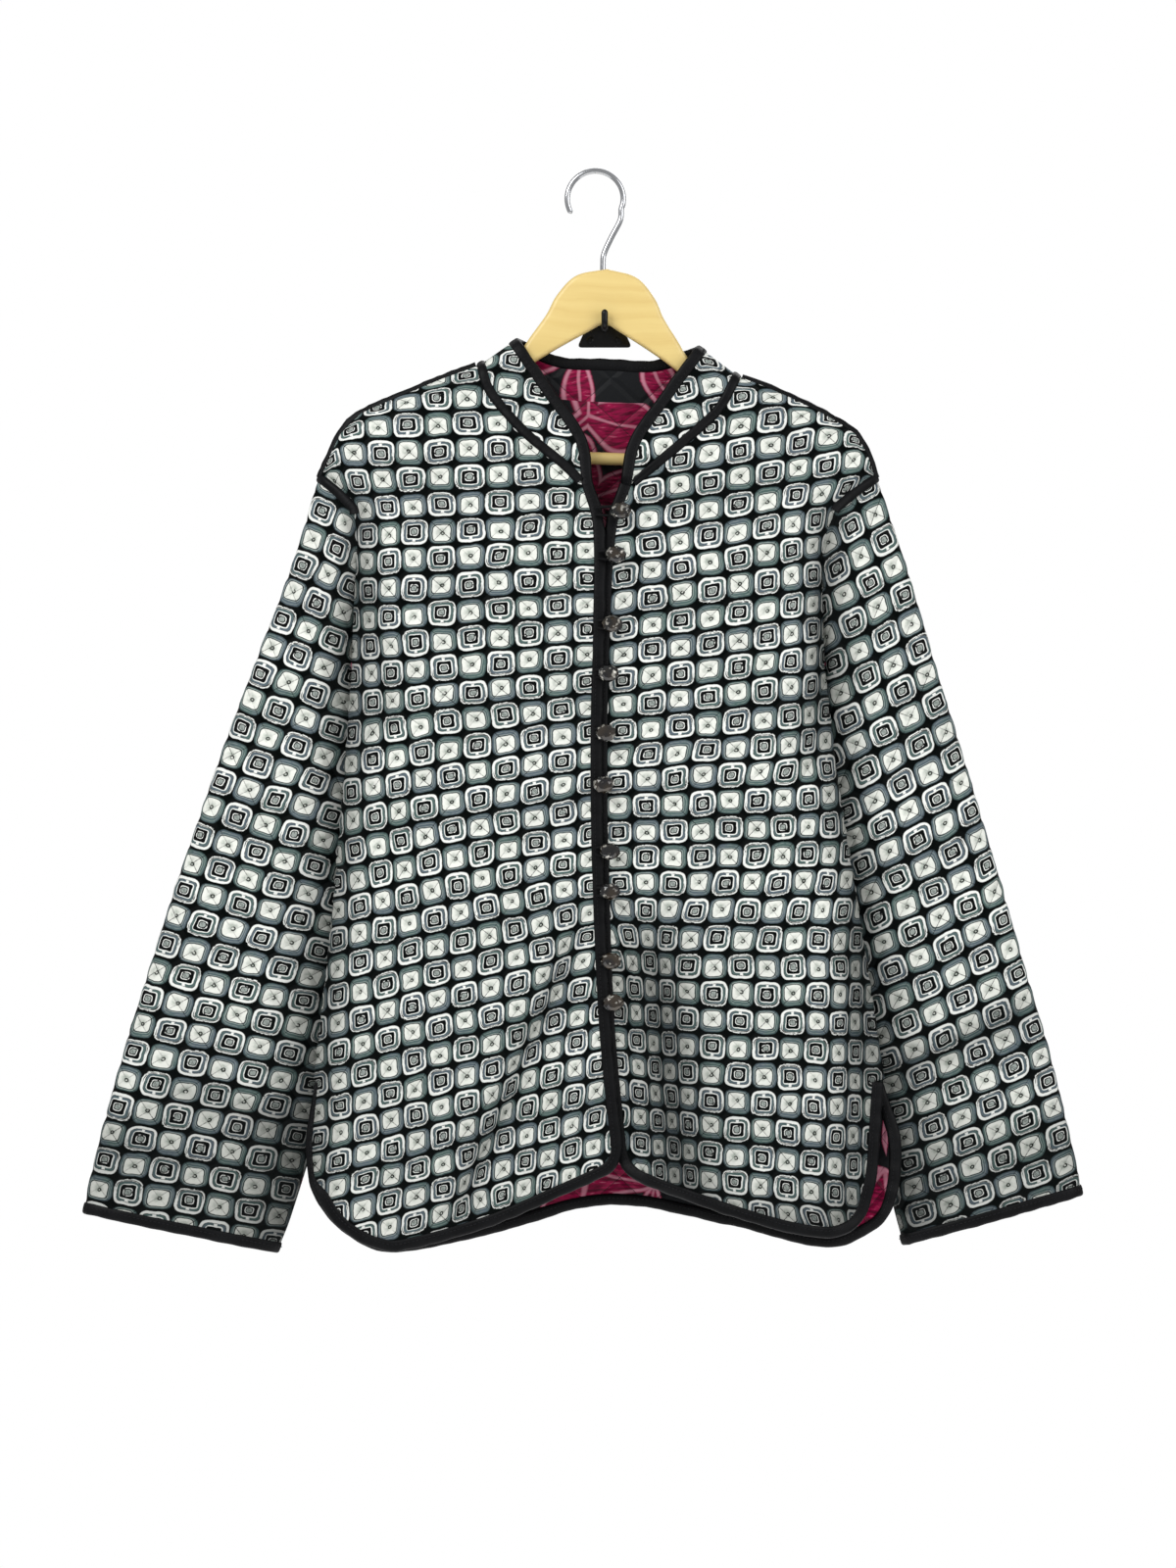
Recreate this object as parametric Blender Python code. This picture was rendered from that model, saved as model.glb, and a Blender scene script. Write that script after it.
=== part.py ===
"""Reversible quilted jacket on a wooden hanger, hung from a hook on a wall.

Sizes and tables are in millimetres, the model is in metres. +Z is up, the front faces -Y and the
wall is the plane Y = 0. The origin is on the back of the wall hook's plate. Sides are the wearer's,
so the right side of the jacket lies at -X. Each panel is cut to its outline in the front view,
filled with the quilting's lattice, draped to its depth and given a wall.
"""

import math
from collections import Counter, namedtuple

import bmesh
import bpy
import numpy as np
from mathutils import Vector
from mathutils.geometry import delaunay_2d_cdt, intersect_point_line

MM = 0.001

# Quilted cloth
WALL = 3.0                # stitch line to lining
LOFT = 1.5                # rise of a diamond's middle over its stitch lines
DIAMOND_WIDE = 48.0       # diagonals of a quilted diamond
DIAMOND_TALL = 43.5
SEAM_GAP = 0.3            # room between two pieces
SEAM_STEP = 21.0          # spacing of the points along a seam
CURVE_STEPS = 12          # points worked out between two knots of a curve
EDGE_CLEAR = 8.0          # least distance of a lattice point from an edge
ROLL_STEP = 6.0           # extra row of points beside a fold that rolls over
ROLL_CLEAR = 4.2          # least distance of that row from an edge
LOFT_FADE = 15.0          # distance from an edge at which a diamond has its full rise
MITRE_LIMIT = 1.8

# Bindings and tapes
BINDING_WIDE = 8.0
BINDING_PROUD = 0.8
BINDING_ROLL = 2.4
BINDING_EASE = 0.6        # the outer edge stands this much less rounded across than along
TAPE_WIDE = 7.0
TAPE_THICK = 1.2
TAPE_LIFT = 1.7           # its underside over the seam, clear of the lofted panels
SHOULDER_LIFT = 1.0       # the same on the shoulders, where the panels fall away
TAPE_TRIM = 12.0          # cut back at the collar's points
TAPE_CROSS = 5.0          # room left where one tape meets another
TAPE_FRONT = 3            # steps of the armhole's tape that show in front, before it turns into the fold

# Drape of the body
RIDGE_Y = -20.0           # the shoulders lie over the hanger
SHOULDER_OUT = 12.0       # the cloth rolls this far over the hanger, to each side
SHOULDER_ROLL = 14.0
CHEST_OUT = 32.0          # further swell of the front below the shoulders
CHEST_DROP = 230.0
FRONT_ROUND = 4.0         # powers of the rounding towards the sides
BACK_ROUND = 1.8          # at the underarms and below, where the sleeves hang behind the sides
BACK_FLAT = 5.0           # at the hanger
BACK_EASE = 120.0         # height over which one turns into the other
LAP_DEPTH = 6.0           # the left front lies this far behind the right one at the middle
LAP_FADE = 45.0

# Drape of the sleeves
SLEEVE_Y = -20.0
SLEEVE_ROUND = 2.4
SLEEVE_TILT = 11.0        # degrees, quilting square to the sleeve
CUFF_RUN = 40.0           # height over which a fold's direction at the cuff is taken
CUFF_CLEAR = 15.0         # no knot of a fold lies nearer to its end at the cuff

# Shoulder ridge: distance out and height, from the collar seam to the sleeve
Pair = namedtuple("Pair", "right_x right_z left_x left_z")
RIDGE = [
    Pair(-99, -27, 106, -36),
    Pair(-130, -38, 125, -43),
    Pair(-161, -51, 144, -51),
    Pair(-195, -66, 175, -66),
    Pair(-211, -82, 200, -82),
    Pair(-219, -98, 210, -98),
    Pair(-228, -118, 217, -118),
]
# Collar seam from the neck's side to the front edge
COLLAR_SEAM = [
    Pair(-99, -27, 106, -36),
    Pair(-91, -50, 92, -62),
    Pair(-64, -82, 74, -80),
    Pair(-33, -108, 47, -103),
]
# Outer edge of the neck binding from the neck's side to the front edge
NECK_EDGE = [
    Pair(-69, -6, 74, -12),
    Pair(-41, -47, 45, -51),
    Pair(-15, -86, 20, -88),
    Pair(-9, -123, 12, -123),
]
# Outer edge of the front binding, from the neck to the hem
FRONT_EDGE = [
    Pair(-9, -123, 12, -123),
    Pair(0, -160, 0, -160),
    Pair(0, -238, -5, -238),
    Pair(-2, -324, -7, -324),
    Pair(-1, -425, -6, -425),
    Pair(5, -558, -1, -558),
    Pair(16, -667, 10, -671),
]
# Front hem from the middle, round the vent's corner and up the vent
FRONT_HEM = [
    Pair(16, -667, 10, -671),
    Pair(-44, -694, 65, -694),
    Pair(-91, -714, 127, -714),
    Pair(-146, -730, 165, -722),
    Pair(-176, -733, 188, -721),
    Pair(-210, -716, 206, -708),
    Pair(-230, -686, 216, -675),
    Pair(-235, -650, 219, -640),
    Pair(-230.5, -600, 221.5, -600),
]
Point = namedtuple("Point", "x z")
# Back hem with both vents, from the right side to the left
BACK_HEM = [
    Point(-230.5, -600),
    Point(-238, -650),
    Point(-232, -690),
    Point(-210, -719),
    Point(-170, -737),
    Point(-91, -723),
    Point(2, -700),
    Point(96, -715),
    Point(172, -733),
    Point(206, -724),
    Point(229, -702),
    Point(236, -650),
    Point(221.5, -600),
]
BACK_NECK_EDGE = [Point(-69, -6), Point(-35, -20), Point(2, -22), Point(40, -23), Point(74, -12)]
BACK_NECK_SEAM = [Point(-99, -27), Point(-60, -50), Point(2, -57), Point(64, -55), Point(106, -36)]
NECK_RISE = [Point(-35, 0), Point(35, -3)]      # the shoulder line carried on across the neck

# Sides of the body by level: where each fold lies and how deep its front and back edges are
Side = namedtuple("Side", "level right left front back")
SIDES = [
    Side(-20, -300, 290, -20, -20),
    Side(-118, -228, 217, -20, -20),
    Side(-121, -224, 213, -27, -14),
    Side(-130, -213, 200, -32, -12),
    Side(-143, -200, 184, -38, -12),
    Side(-170, -197, 174, -43, -12),
    Side(-207, -199, 173, -44, -15),
    Side(-245, -201, 174.5, -41, -22),
    Side(-272, -202, 176, -33, -33),
    Side(-310, -204.5, 180, -40, -40),
    Side(-363, -208, 186, -45, -45),
    Side(-480, -218, 205, -47, -47),
    Side(-597, -231.5, 222.5, -49, -49),
    Side(-745, -242, 240, -51, -49),
]
SHOULDER_POINT = -118     # levels of the armhole's top and bottom, and of the vents' tops
UNDERARM = -272
VENT_TOP = -597

# Sleeves by level: outer and inner edges, depth of the inner edge, swell of the front and the back
Sleeve = namedtuple("Sleeve", "level outer inner depth front back")
SLEEVES = {
    "right": [
        Sleeve(-118, -228, -227, -20, 2, 2),
        Sleeve(-175, -245, -197, -28, 7, 6),
        Sleeve(-207, -256, -199, -30, 10, 8),
        Sleeve(-272, -281, -202, -33, 11, 10),
        Sleeve(-331, -303, -197, -21, 14, 12),
        Sleeve(-394, -325, -199, -19, 17, 13),
        Sleeve(-456, -346, -204, -19, 17, 13),
        Sleeve(-519, -366, -210, -19, 17, 13),
        Sleeve(-581, -385, -218, -19, 16, 13),
        Sleeve(-643, -402, -231, -19, 15, 12),
        Sleeve(-706, -417, -250, -19, 14, 12),
        Sleeve(-750, -428, -266, -19, 14, 12),
    ],
    "left": [
        Sleeve(-118, 217, 216, -20, 2, 2),
        Sleeve(-175, 236, 174, -28, 7, 6),
        Sleeve(-207, 246, 173, -30, 10, 8),
        Sleeve(-272, 265, 176, -33, 11, 10),
        Sleeve(-331, 283, 171, -21, 14, 12),
        Sleeve(-394, 302, 178, -19, 17, 13),
        Sleeve(-456, 320, 190, -19, 17, 13),
        Sleeve(-519, 338, 200, -19, 17, 13),
        Sleeve(-581, 356, 210, -19, 16, 13),
        Sleeve(-643, 371, 221, -19, 15, 12),
        Sleeve(-692, 382, 229, -19, 14, 12),
        Sleeve(-750, 396, 244, -19, 14, 12),
    ],
}
Cuff = namedtuple("Cuff", "outer inner")
CUFFS = {
    "right": Cuff(Point(-417, -706), Point(-262, -738)),
    "left": Cuff(Point(382, -692), Point(239, -732)),
}

# Buttons and loops
BUTTONS = [
    Point(13, -146),
    Point(9, -181),
    Point(6, -236),
    Point(3, -275),
    Point(1, -322),
    Point(-1, -363),
    Point(4, -416),
    Point(4, -448),
    Point(5, -503),
    Point(7, -536),
]
BUTTON_WIDE = 16.5
BUTTON_TALL = 14.0
BUTTON_SIDES = 8
Facet = namedtuple("Facet", "forward share")
BUTTON_FACETS = [Facet(0.4, 0.72), Facet(3.2, 1.0), Facet(5.6, 0.86), Facet(7.4, 0.5)]
SHANK_RADIUS = 1.8
SHANK_CLEAR = 3.6         # the shank stands this far outside the right front's edge
CORD_RADIUS = 1.1
LOOP_RADIUS = 3.7
LOOP_ROOT = 6.5           # the loop's ends lie this far inside the right front's edge

# Hanger and hooks
HANGER_THICK = 12.6
HANGER_ROUND = 4.0
HANGER_STEP = 14.0        # spacing of the points along its top
HANGER_TILT = 2.0         # degrees, the jacket's right shoulder is higher
NOTCH_TOP = 5.5
HANGER_TOP = [
    Point(0, 49),
    Point(24, 43),
    Point(39, 27),
    Point(47, 11),
    Point(59, -7),
    Point(66, -18),
    Point(76, -29),
    Point(99, -45),
    Point(130, -55),
    Point(161, -65.7),
    Point(188, -79.7),
    Point(198, -94),
]
HANGER_FOOT = [Point(198, -106), Point(192, -112), Point(171, -112), Point(171, -95)]
HANGER_UNDER = [Point(160, -92), Point(130, -80), Point(99, -64), Point(54, -27), Point(5, 3.5)]
BAR_RADIUS = 5.0
BAR_LEVEL = -102.5
BAR_REACH = 171.0
WIRE_RADIUS = 2.3
HOOK_CENTRE = Point(-7.4, 105.3)
HOOK_RADIUS = 22.4
HOOK_TIP = 212.0          # degrees round the hook's bend, from its tip to where the stem leaves it
HOOK_LEAVE = -22.0
HOOK_STEM = [Point(12.5, 88), Point(5, 73.5), Point(-0.5, 61), Point(-1.3, 52)]
PLATE_THICK = 3.0
PLATE = [Point(-22, -12.5), Point(22, -12.5), Point(6, 24), Point(-6, 24)]
PLATE_CORNER = 4.0
PRONG_RADIUS = 2.7
PRONG_LEVEL = 1.9
PRONG_REACH = 33.0
PRONG_TIP = 16.0

SIDE_NAMES = ("right", "left")


# Curves

def spaced(knots, spacing):
    """A smooth curve through the knots, as points an even distance apart."""
    ends = [2 * knots[0] - knots[1]], [2 * knots[-1] - knots[-2]]
    padded = ends[0] + list(knots) + ends[1]
    dense = []
    for a, b, c, d in zip(padded, padded[1:], padded[2:], padded[3:]):
        for t in (step / CURVE_STEPS for step in range(CURVE_STEPS)):
            cubic = 3 * (b - c) + d - a
            dense.append(b + 0.5 * t * (c - a + t * (2 * a - 5 * b + 4 * c - d + t * cubic)))
    dense.append(knots[-1].copy())
    return along(dense, spacing)


def along(path, spacing):
    """Points an even distance apart on a run of straight steps."""
    reach = [0.0]
    for a, b in zip(path, path[1:]):
        reach.append(reach[-1] + (b - a).length)
    count = max(2, round(reach[-1] / spacing))
    wanted = np.linspace(0, reach[-1], count + 1)
    columns = zip(*path)
    return [Vector(point) for point in zip(*(np.interp(wanted, reach, column) for column in columns))]


def rolled_over(path):
    """A path with one more point near its start, where it rolls over the shoulder."""
    step = path[1] - path[0]
    return [path[0], path[0] + step * (ROLL_STEP / step.length), *path[1:]]


def mitre(first, second):
    """The offset that clears two planes with these unit normals by one unit each."""
    return (first + second) / max(1 + first.dot(second), 2 / MITRE_LIMIT ** 2)


def inset(path, distance):
    """A path in the front view moved to its left-hand side, mitred at its bends."""
    steps = [(b - a).normalized() for a, b in zip(path, path[1:])]
    lefts = [Vector((-step.y, step.x)) for step in steps]
    lefts = [lefts[0]] + lefts + [lefts[-1]]
    return [p + distance * mitre(a, b) for p, a, b in zip(path, lefts, lefts[1:])]


def pair_knots(rows, side):
    """One side's knots from a table with both sides."""
    return [Vector((getattr(row, side + "_x"), getattr(row, side + "_z"))) for row in rows]


def at_level(rows, level, column):
    """A column's value at a level, straight between the table's rows."""
    return float(np.interp(-level, [-row.level for row in rows], [getattr(row, column) for row in rows]))


# Drape

def ease(t):
    """Smooth step from 0 to 1."""
    t = min(max(t, 0.0), 1.0)
    return t * t * (3 - 2 * t)


def quarter(t):
    """Quarter of a circle from 0 to 1."""
    return math.sqrt(1 - (1 - min(max(t, 0.0), 1.0)) ** 2)


def rounding(t, power):
    """Full in the middle and rolling to 0 at t = 1."""
    return (1 - min(abs(t), 1.0) ** power) ** (1 / power)


def ridge_height(x):
    """Height of the shoulder line, carried on across the neck."""
    right = [Point(row.right_x, row.right_z) for row in RIDGE] + [BACK_NECK_EDGE[0]]
    left = [Point(row.left_x, row.left_z) for row in RIDGE] + [BACK_NECK_EDGE[-1]]
    line = sorted(right + NECK_RISE + left)
    return float(np.interp(x, [point.x for point in line], [point.z for point in line]))


def side_of(x):
    """The side of the body that a point lies on."""
    return "right" if x < 0 else "left"


def front_depth(x, z):
    """Depth of the body's front at a place in the front view."""
    below = ridge_height(x) - z
    full = RIDGE_Y - SHOULDER_OUT * quarter(below / SHOULDER_ROLL) - CHEST_OUT * ease(below / CHEST_DROP)
    edge = at_level(SIDES, z, "front")
    return edge + (full - edge) * rounding(x / at_level(SIDES, z, side_of(x)), FRONT_ROUND)


def lapped_depth(x, z):
    """Depth of the left front, which passes behind the right one at the middle."""
    reach = x - at_level([Side(row.left_z, 0, row.left_x, 0, 0) for row in FRONT_EDGE], z, "left")
    return front_depth(x, z) + LAP_DEPTH * (1 - ease(reach / LAP_FADE))


def back_depth(x, z):
    """Depth of the body's back at a place in the front view."""
    full = RIDGE_Y + SHOULDER_OUT * quarter((ridge_height(x) - z) / SHOULDER_ROLL)
    edge = at_level(SIDES, z, "back")
    power = BACK_FLAT + (BACK_ROUND - BACK_FLAT) * ease((UNDERARM + BACK_EASE - z) / BACK_EASE)
    return edge + (full - edge) * rounding(x / at_level(SIDES, z, side_of(x)), power)


def sleeve_depth(side, face):
    """Depth of a sleeve's front or back, as a function of a place in the front view."""
    rows = SLEEVES[side]
    sign = -1 if face == "front" else 1

    def depth(x, z):
        outer = at_level(rows, z, "outer")
        inner = at_level(rows, z, "inner")
        edge = at_level(rows, z, "depth")
        if z > UNDERARM:
            inner = at_level(SIDES, z, side)
            edge = at_level(SIDES, z, face)
        across = min(max((x - outer) / (inner - outer), 0.0), 1.0)
        middle = SLEEVE_Y + (edge - SLEEVE_Y) * across ** 2
        return middle + sign * at_level(rows, z, face) * rounding(2 * across - 1, SLEEVE_ROUND)

    return depth


def drape(path, depth):
    """A path in the front view laid on a surface."""
    return [Vector((p.x, depth(p.x, p.y), p.y)) for p in path]


# Sheets: cut panels before they get their wall

class Sheet:
    """A panel on its draped form: points, triangles and how far each point is lofted."""

    def __init__(self, name):
        self.name = name
        self.points = []
        self.lofts = []
        self.faces = []
        self.places = {}

    def point(self, place, loft=0.0):
        """Index of a point, shared by the patches that meet there."""
        key = place_key(place)
        if key not in self.places:
            self.places[key] = len(self.points)
            self.points.append(place.copy())
            self.lofts.append(loft)
        return self.places[key]

    def add_patch(self, outline, depth, faces_front, tilt=0.0, rolled=()):
        """Fill an outline with the quilting's lattice and lay it on a surface."""
        flat = [Vector((p.x, p.z)) for p in outline]
        count = len(flat)
        edges = [(k, (k + 1) % count) for k in range(count)]
        turn = 1 if signed_area(flat) > 0 else -1
        rolls = []
        for stretch in rolled:
            beside = inset([Vector((p.x, p.z)) for p in stretch], turn * ROLL_STEP)
            rolls += [p for p in beside[1:-1] if clearance(p, flat) > ROLL_CLEAR]
        inner, raised, stitches = quilt_lattice(flat, rolls, tilt)
        start = count + len(rolls)
        edges += [(a + start, b + start) for a, b in stitches]
        cut = delaunay_2d_cdt(flat + rolls + inner, edges, [], 1, 1e-4)
        indices = []
        for place, origin in zip(cut[0], cut[3]):
            source = origin[0] if origin else start
            if source < count:
                indices.append(self.point(outline[source]))
                continue
            loft = 0.0
            if origin and source >= start and raised[source - start]:
                loft = LOFT * min(1.0, clearance(place, flat) / LOFT_FADE)
            indices.append(self.point(Vector((place.x, depth(place.x, place.y), place.y)), loft))
        for face in cut[2]:
            corners = [indices[k] for k in face]
            self.faces.append(corners if faces_front else corners[::-1])

    def finish(self):
        """Work out the normals, and the direction from each edge into the panel."""
        self.normals = [Vector() for _ in self.points]
        self.inward = [Vector() for _ in self.points]
        uses = Counter()
        for face in self.faces:
            for k in range(3):
                uses[frozenset((face[k], face[k - 1]))] += 1
        for face in self.faces:
            a, b, c = (self.points[k] for k in face)
            normal = (b - a).cross(c - a)
            for k in face:
                self.normals[k] += normal
            for k in range(3):
                first, second, third = face[k], face[(k + 1) % 3], face[(k + 2) % 3]
                if uses[frozenset((first, second))] == 1:
                    run = (self.points[second] - self.points[first]).normalized()
                    reach = self.points[third] - self.points[first]
                    into = (reach - run * reach.dot(run)).normalized()
                    self.inward[first] += into
                    self.inward[second] += into
        self.normals = [normal.normalized() for normal in self.normals]
        self.inward = [into.normalized() if into.length else into for into in self.inward]
        self.mitres = list(self.normals)


def place_key(place):
    """A point's place to a hundredth of a millimetre."""
    return tuple(round(value * 100) for value in place)


def signed_area(loop):
    """Twice the area of a loop, positive when it runs counterclockwise."""
    return sum(a.x * b.y - b.x * a.y for a, b in zip(loop, loop[1:] + loop[:1]))


def clearance(place, loop):
    """Distance of a place inside a loop from the loop, or a negative one outside."""
    nearest = math.inf
    inside = False
    for a, b in zip(loop, loop[1:] + loop[:1]):
        foot, part = intersect_point_line(place, a, b)
        foot = foot.to_2d() if 0 < part < 1 else (a if part <= 0 else b)
        nearest = min(nearest, (place - foot).length)
        if (a.y > place.y) != (b.y > place.y):
            inside ^= place.x < a.x + (b.x - a.x) * (place.y - a.y) / (b.y - a.y)
    return nearest if inside else -nearest


def quilt_lattice(loop, rolls, tilt):
    """The quilting's crossings and diamond middles inside a loop, and its stitch lines."""
    step_x = DIAMOND_WIDE / 2
    step_z = DIAMOND_TALL / 2
    cos, sin = math.cos(math.radians(tilt)), math.sin(math.radians(tilt))
    reach = max(p.length for p in loop)
    spans = [range(-math.ceil(reach / step), math.ceil(reach / step) + 1) for step in (step_x, step_z)]
    places, raised, index = [], [], {}
    for i in spans[0]:
        for j in spans[1]:
            x, z = i * step_x, j * step_z
            place = Vector((x * cos - z * sin, x * sin + z * cos))
            if clearance(place, loop) < EDGE_CLEAR:
                continue
            if any((place - roll).length < EDGE_CLEAR for roll in rolls):
                continue
            index[i, j] = len(places)
            places.append(place)
            raised.append((i + j) % 2 == 1)
    stitches = []
    for (i, j), k in index.items():
        ends = [(i + 1, j + 1), (i + 1, j - 1)] if (i + j) % 2 == 0 else []
        stitches += [(k, index[end]) for end in ends if end in index]
    return places, raised, stitches


def share_seams(sheets):
    """Mitre the walls of the panels that meet at a seam, from the sum of their normals.

    Under the arm the body and the sleeve part again, so each keeps its own mitre there.
    """
    meeting = {}
    for sheet in sheets:
        for key, k in sheet.places.items():
            if sheet.inward[k].length:
                meeting.setdefault(key, []).append((sheet, k))
    for uses in meeting.values():
        total = sum((sheet.normals[k] for sheet, k in uses), Vector())
        groups = [uses]
        if len(uses) > 2 and total.z < 0:
            groups = [[use for use in uses if use[0].name.startswith("sleeve")],
                      [use for use in uses if not use[0].name.startswith("sleeve")]]
        for group in groups:
            total = sum((sheet.normals[k] for sheet, k in group), Vector()).normalized()
            for sheet, k in group:
                sheet.mitres[k] = total / max(total.dot(sheet.normals[k]), 1 / MITRE_LIMIT)


# Building objects

def finish(name, colour, roughness, metallic=0.0):
    """A plain Principled material."""
    material = bpy.data.materials.new(name)
    material.use_nodes = True
    shader = material.node_tree.nodes["Principled BSDF"]
    shader.inputs["Base Color"].default_value = (*colour, 1)
    shader.inputs["Roughness"].default_value = roughness
    shader.inputs["Metallic"].default_value = metallic
    return material


def add_mesh(name, bm, collection, material):
    """An object from a mesh in millimetres, with its faces turned out."""
    bmesh.ops.recalc_face_normals(bm, faces=bm.faces)
    bmesh.ops.scale(bm, vec=(MM, MM, MM), verts=bm.verts)
    mesh = bpy.data.meshes.new(name)
    bm.to_mesh(mesh)
    bm.free()
    mesh.materials.append(material)
    body = bpy.data.objects.new(name, mesh)
    collection.objects.link(body)
    return body


def add_wall(sheet, collection, material):
    """Give a sheet its wall: the lofted outside over a plain inside, joined round its edges."""
    bm = bmesh.new()
    number = bm.verts.layers.int.new("number")
    verts = [bm.verts.new(place) for place in sheet.points]
    for k, vert in enumerate(verts):
        vert[number] = k
    for face in sheet.faces:
        bm.faces.new([verts[k] for k in face])
    grown = bmesh.ops.extrude_face_region(bm, geom=bm.faces[:], use_keep_orig=True)
    outside = {item for item in grown["geom"] if isinstance(item, bmesh.types.BMVert)}
    for vert in bm.verts:
        k = vert[number]
        height = sheet.lofts[k] if vert in outside else -WALL
        vert.co = sheet.points[k] + sheet.mitres[k] * height + sheet.inward[k] * SEAM_GAP / 2
    bmesh.ops.triangulate(bm, faces=bm.faces, quad_method="SHORT_EDGE")
    return add_mesh(sheet.name, bm, collection, material)


def add_strip(name, rings, closed, collection, material):
    """A solid strip through sections with the same number of corners."""
    bm = bmesh.new()
    loops = [[bm.verts.new(corner) for corner in ring] for ring in rings]
    follow = loops[1:] + loops[:1] if closed else loops[1:]
    for first, second in zip(loops, follow):
        for k in range(len(first)):
            bm.faces.new((first[k - 1], first[k], second[k], second[k - 1]))
    if not closed:
        bm.faces.new(loops[0])
        bm.faces.new(loops[-1])
    bmesh.ops.triangulate(bm, faces=bm.faces)
    return add_mesh(name, bm, collection, material)


def wire(name, points, radius, collection, material, sides=1):
    """A round wire or cord through its points."""
    data = bpy.data.curves.new(name, "CURVE")
    data.dimensions = "3D"
    data.bevel_depth = radius * MM
    data.bevel_resolution = sides
    data.use_fill_caps = True
    data.materials.append(material)
    spline = data.splines.new("POLY")
    spline.points.add(len(points) - 1)
    for target, point in zip(spline.points, points):
        target.co = (*(Vector(point) * MM), 1)
    body = bpy.data.objects.new(name, data)
    collection.objects.link(body)
    return body


def plank(name, outline, thick, rounded, collection, material):
    """A flat board cut to an outline in the front view, its edges eased."""
    data = bpy.data.curves.new(name, "CURVE")
    data.dimensions = "2D"
    data.fill_mode = "BOTH"
    data.extrude = (thick / 2 - rounded) * MM
    data.bevel_depth = rounded * MM
    data.bevel_resolution = 1
    data.offset = -rounded * MM
    data.materials.append(material)
    spline = data.splines.new("POLY")
    spline.points.add(len(outline) - 1)
    spline.use_cyclic_u = True
    for target, point in zip(spline.points, outline):
        target.co = (point.x * MM, point.y * MM, 0, 1)
    body = bpy.data.objects.new(name, data)
    body.rotation_euler.x = math.radians(90)
    collection.objects.link(body)
    return body


# Edges and seams of the jacket

class Pattern:
    """Every edge and seam that two pieces share, worked out once."""

    def __init__(self):
        self.edge_out, self.edge_in, self.collar_seam, self.collar_point = {}, {}, {}, {}
        self.neck_out, self.neck_in, self.ridge, self.neck_side = {}, {}, {}, {}
        self.side_seam, self.arm_front, self.arm_back = {}, {}, {}
        for side in SIDE_NAMES:
            self.cut_side(side)
        self.cut_back()

    def cut_side(self, side):
        """Edges and seams of one side."""
        depth = front_depth if side == "right" else lapped_depth
        inward = -BINDING_WIDE if side == "right" else BINDING_WIDE
        neck = rolled_over(spaced(pair_knots(NECK_EDGE, side), SEAM_STEP))
        front = spaced(pair_knots(FRONT_EDGE, side), SEAM_STEP)
        hem = spaced(pair_knots(FRONT_HEM, side), SEAM_STEP)
        outer = neck + front[1:] + hem[1:]
        inner = inset(outer, inward)
        seam_knots = pair_knots(COLLAR_SEAM, side)
        toward = (seam_knots[0] - outer[0]).normalized()
        inner[0] = outer[0] + toward * BINDING_WIDE
        split = len(neck) - 1
        draped = drape(inner, depth)
        neck_draped = drape(inner[:split], front_depth)
        neck_draped[0].y = RIDGE_Y
        self.neck_in[side] = neck_draped + [draped[split]]
        top = Vector((seam_knots[0].x, RIDGE_Y, seam_knots[0].y))
        self.neck_side[side] = [top.lerp(neck_draped[0], part) for part in (0, 1 / 3, 2 / 3, 1)]
        self.neck_out[side] = outer[:split + 1]
        self.edge_in[side] = draped[split:]
        self.edge_out[side] = outer[split:]
        ridge = [Vector((p.x, RIDGE_Y, p.y)) for p in pair_knots(RIDGE, side)]
        self.ridge[side] = spaced(ridge, SEAM_STEP)
        seam = drape(rolled_over(spaced(seam_knots + [inner[split]], SEAM_STEP)), depth)
        seam[0] = self.ridge[side][0].copy()
        seam[-1] = draped[split].copy()
        self.collar_seam[side] = seam
        arm = [row for row in SIDES if UNDERARM <= row.level <= SHOULDER_POINT]
        fronts = [Vector((getattr(row, side), row.front, row.level)) for row in arm]
        backs = [Vector((getattr(row, side), row.back, row.level)) for row in arm]
        self.arm_front[side] = fronts[:1] + along(fronts[1:], SEAM_STEP)
        self.arm_back[side] = backs[:1] + along(backs[1:], SEAM_STEP)
        below = [row for row in SIDES if VENT_TOP <= row.level <= UNDERARM]
        self.side_seam[side] = along(
            [Vector((getattr(row, side), row.front, row.level)) for row in below], SEAM_STEP)

    def cut_back(self):
        """Edges and seams of the back."""
        self.back_out = spaced([Vector(point) for point in BACK_HEM], SEAM_STEP)
        self.back_in = drape(inset(self.back_out, BINDING_WIDE), back_depth)
        edge = rolled_over(spaced([Vector(point) for point in BACK_NECK_EDGE], SEAM_STEP))
        self.back_neck_out = rolled_over(edge[::-1])[::-1]
        self.back_neck_in = drape(inset(self.back_neck_out, -BINDING_WIDE), back_depth)
        self.back_neck_in[0] = self.neck_in["right"][0].copy()
        self.back_neck_in[-1] = self.neck_in["left"][0].copy()
        seam = rolled_over(spaced([Vector(point) for point in BACK_NECK_SEAM], SEAM_STEP))
        self.back_seam = drape(rolled_over(seam[::-1])[::-1], back_depth)
        self.back_seam[0] = self.ridge["right"][0].copy()
        self.back_seam[-1] = self.ridge["left"][0].copy()


def cut_front(pattern, side):
    """One front, from the collar seam down its edge, hem and side and up the armhole."""
    depth = front_depth if side == "right" else lapped_depth
    outline = pattern.edge_in[side] + pattern.side_seam[side][::-1]
    outline += pattern.arm_front[side][::-1][1:] + pattern.ridge[side][::-1][1:]
    outline += pattern.collar_seam[side][1:-1]
    sheet = Sheet("front_" + side)
    rolled = [pattern.ridge[side][::-1], pattern.side_seam[side][::-1]]
    sheet.add_patch(outline, depth, True, rolled=rolled)
    return sheet


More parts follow.
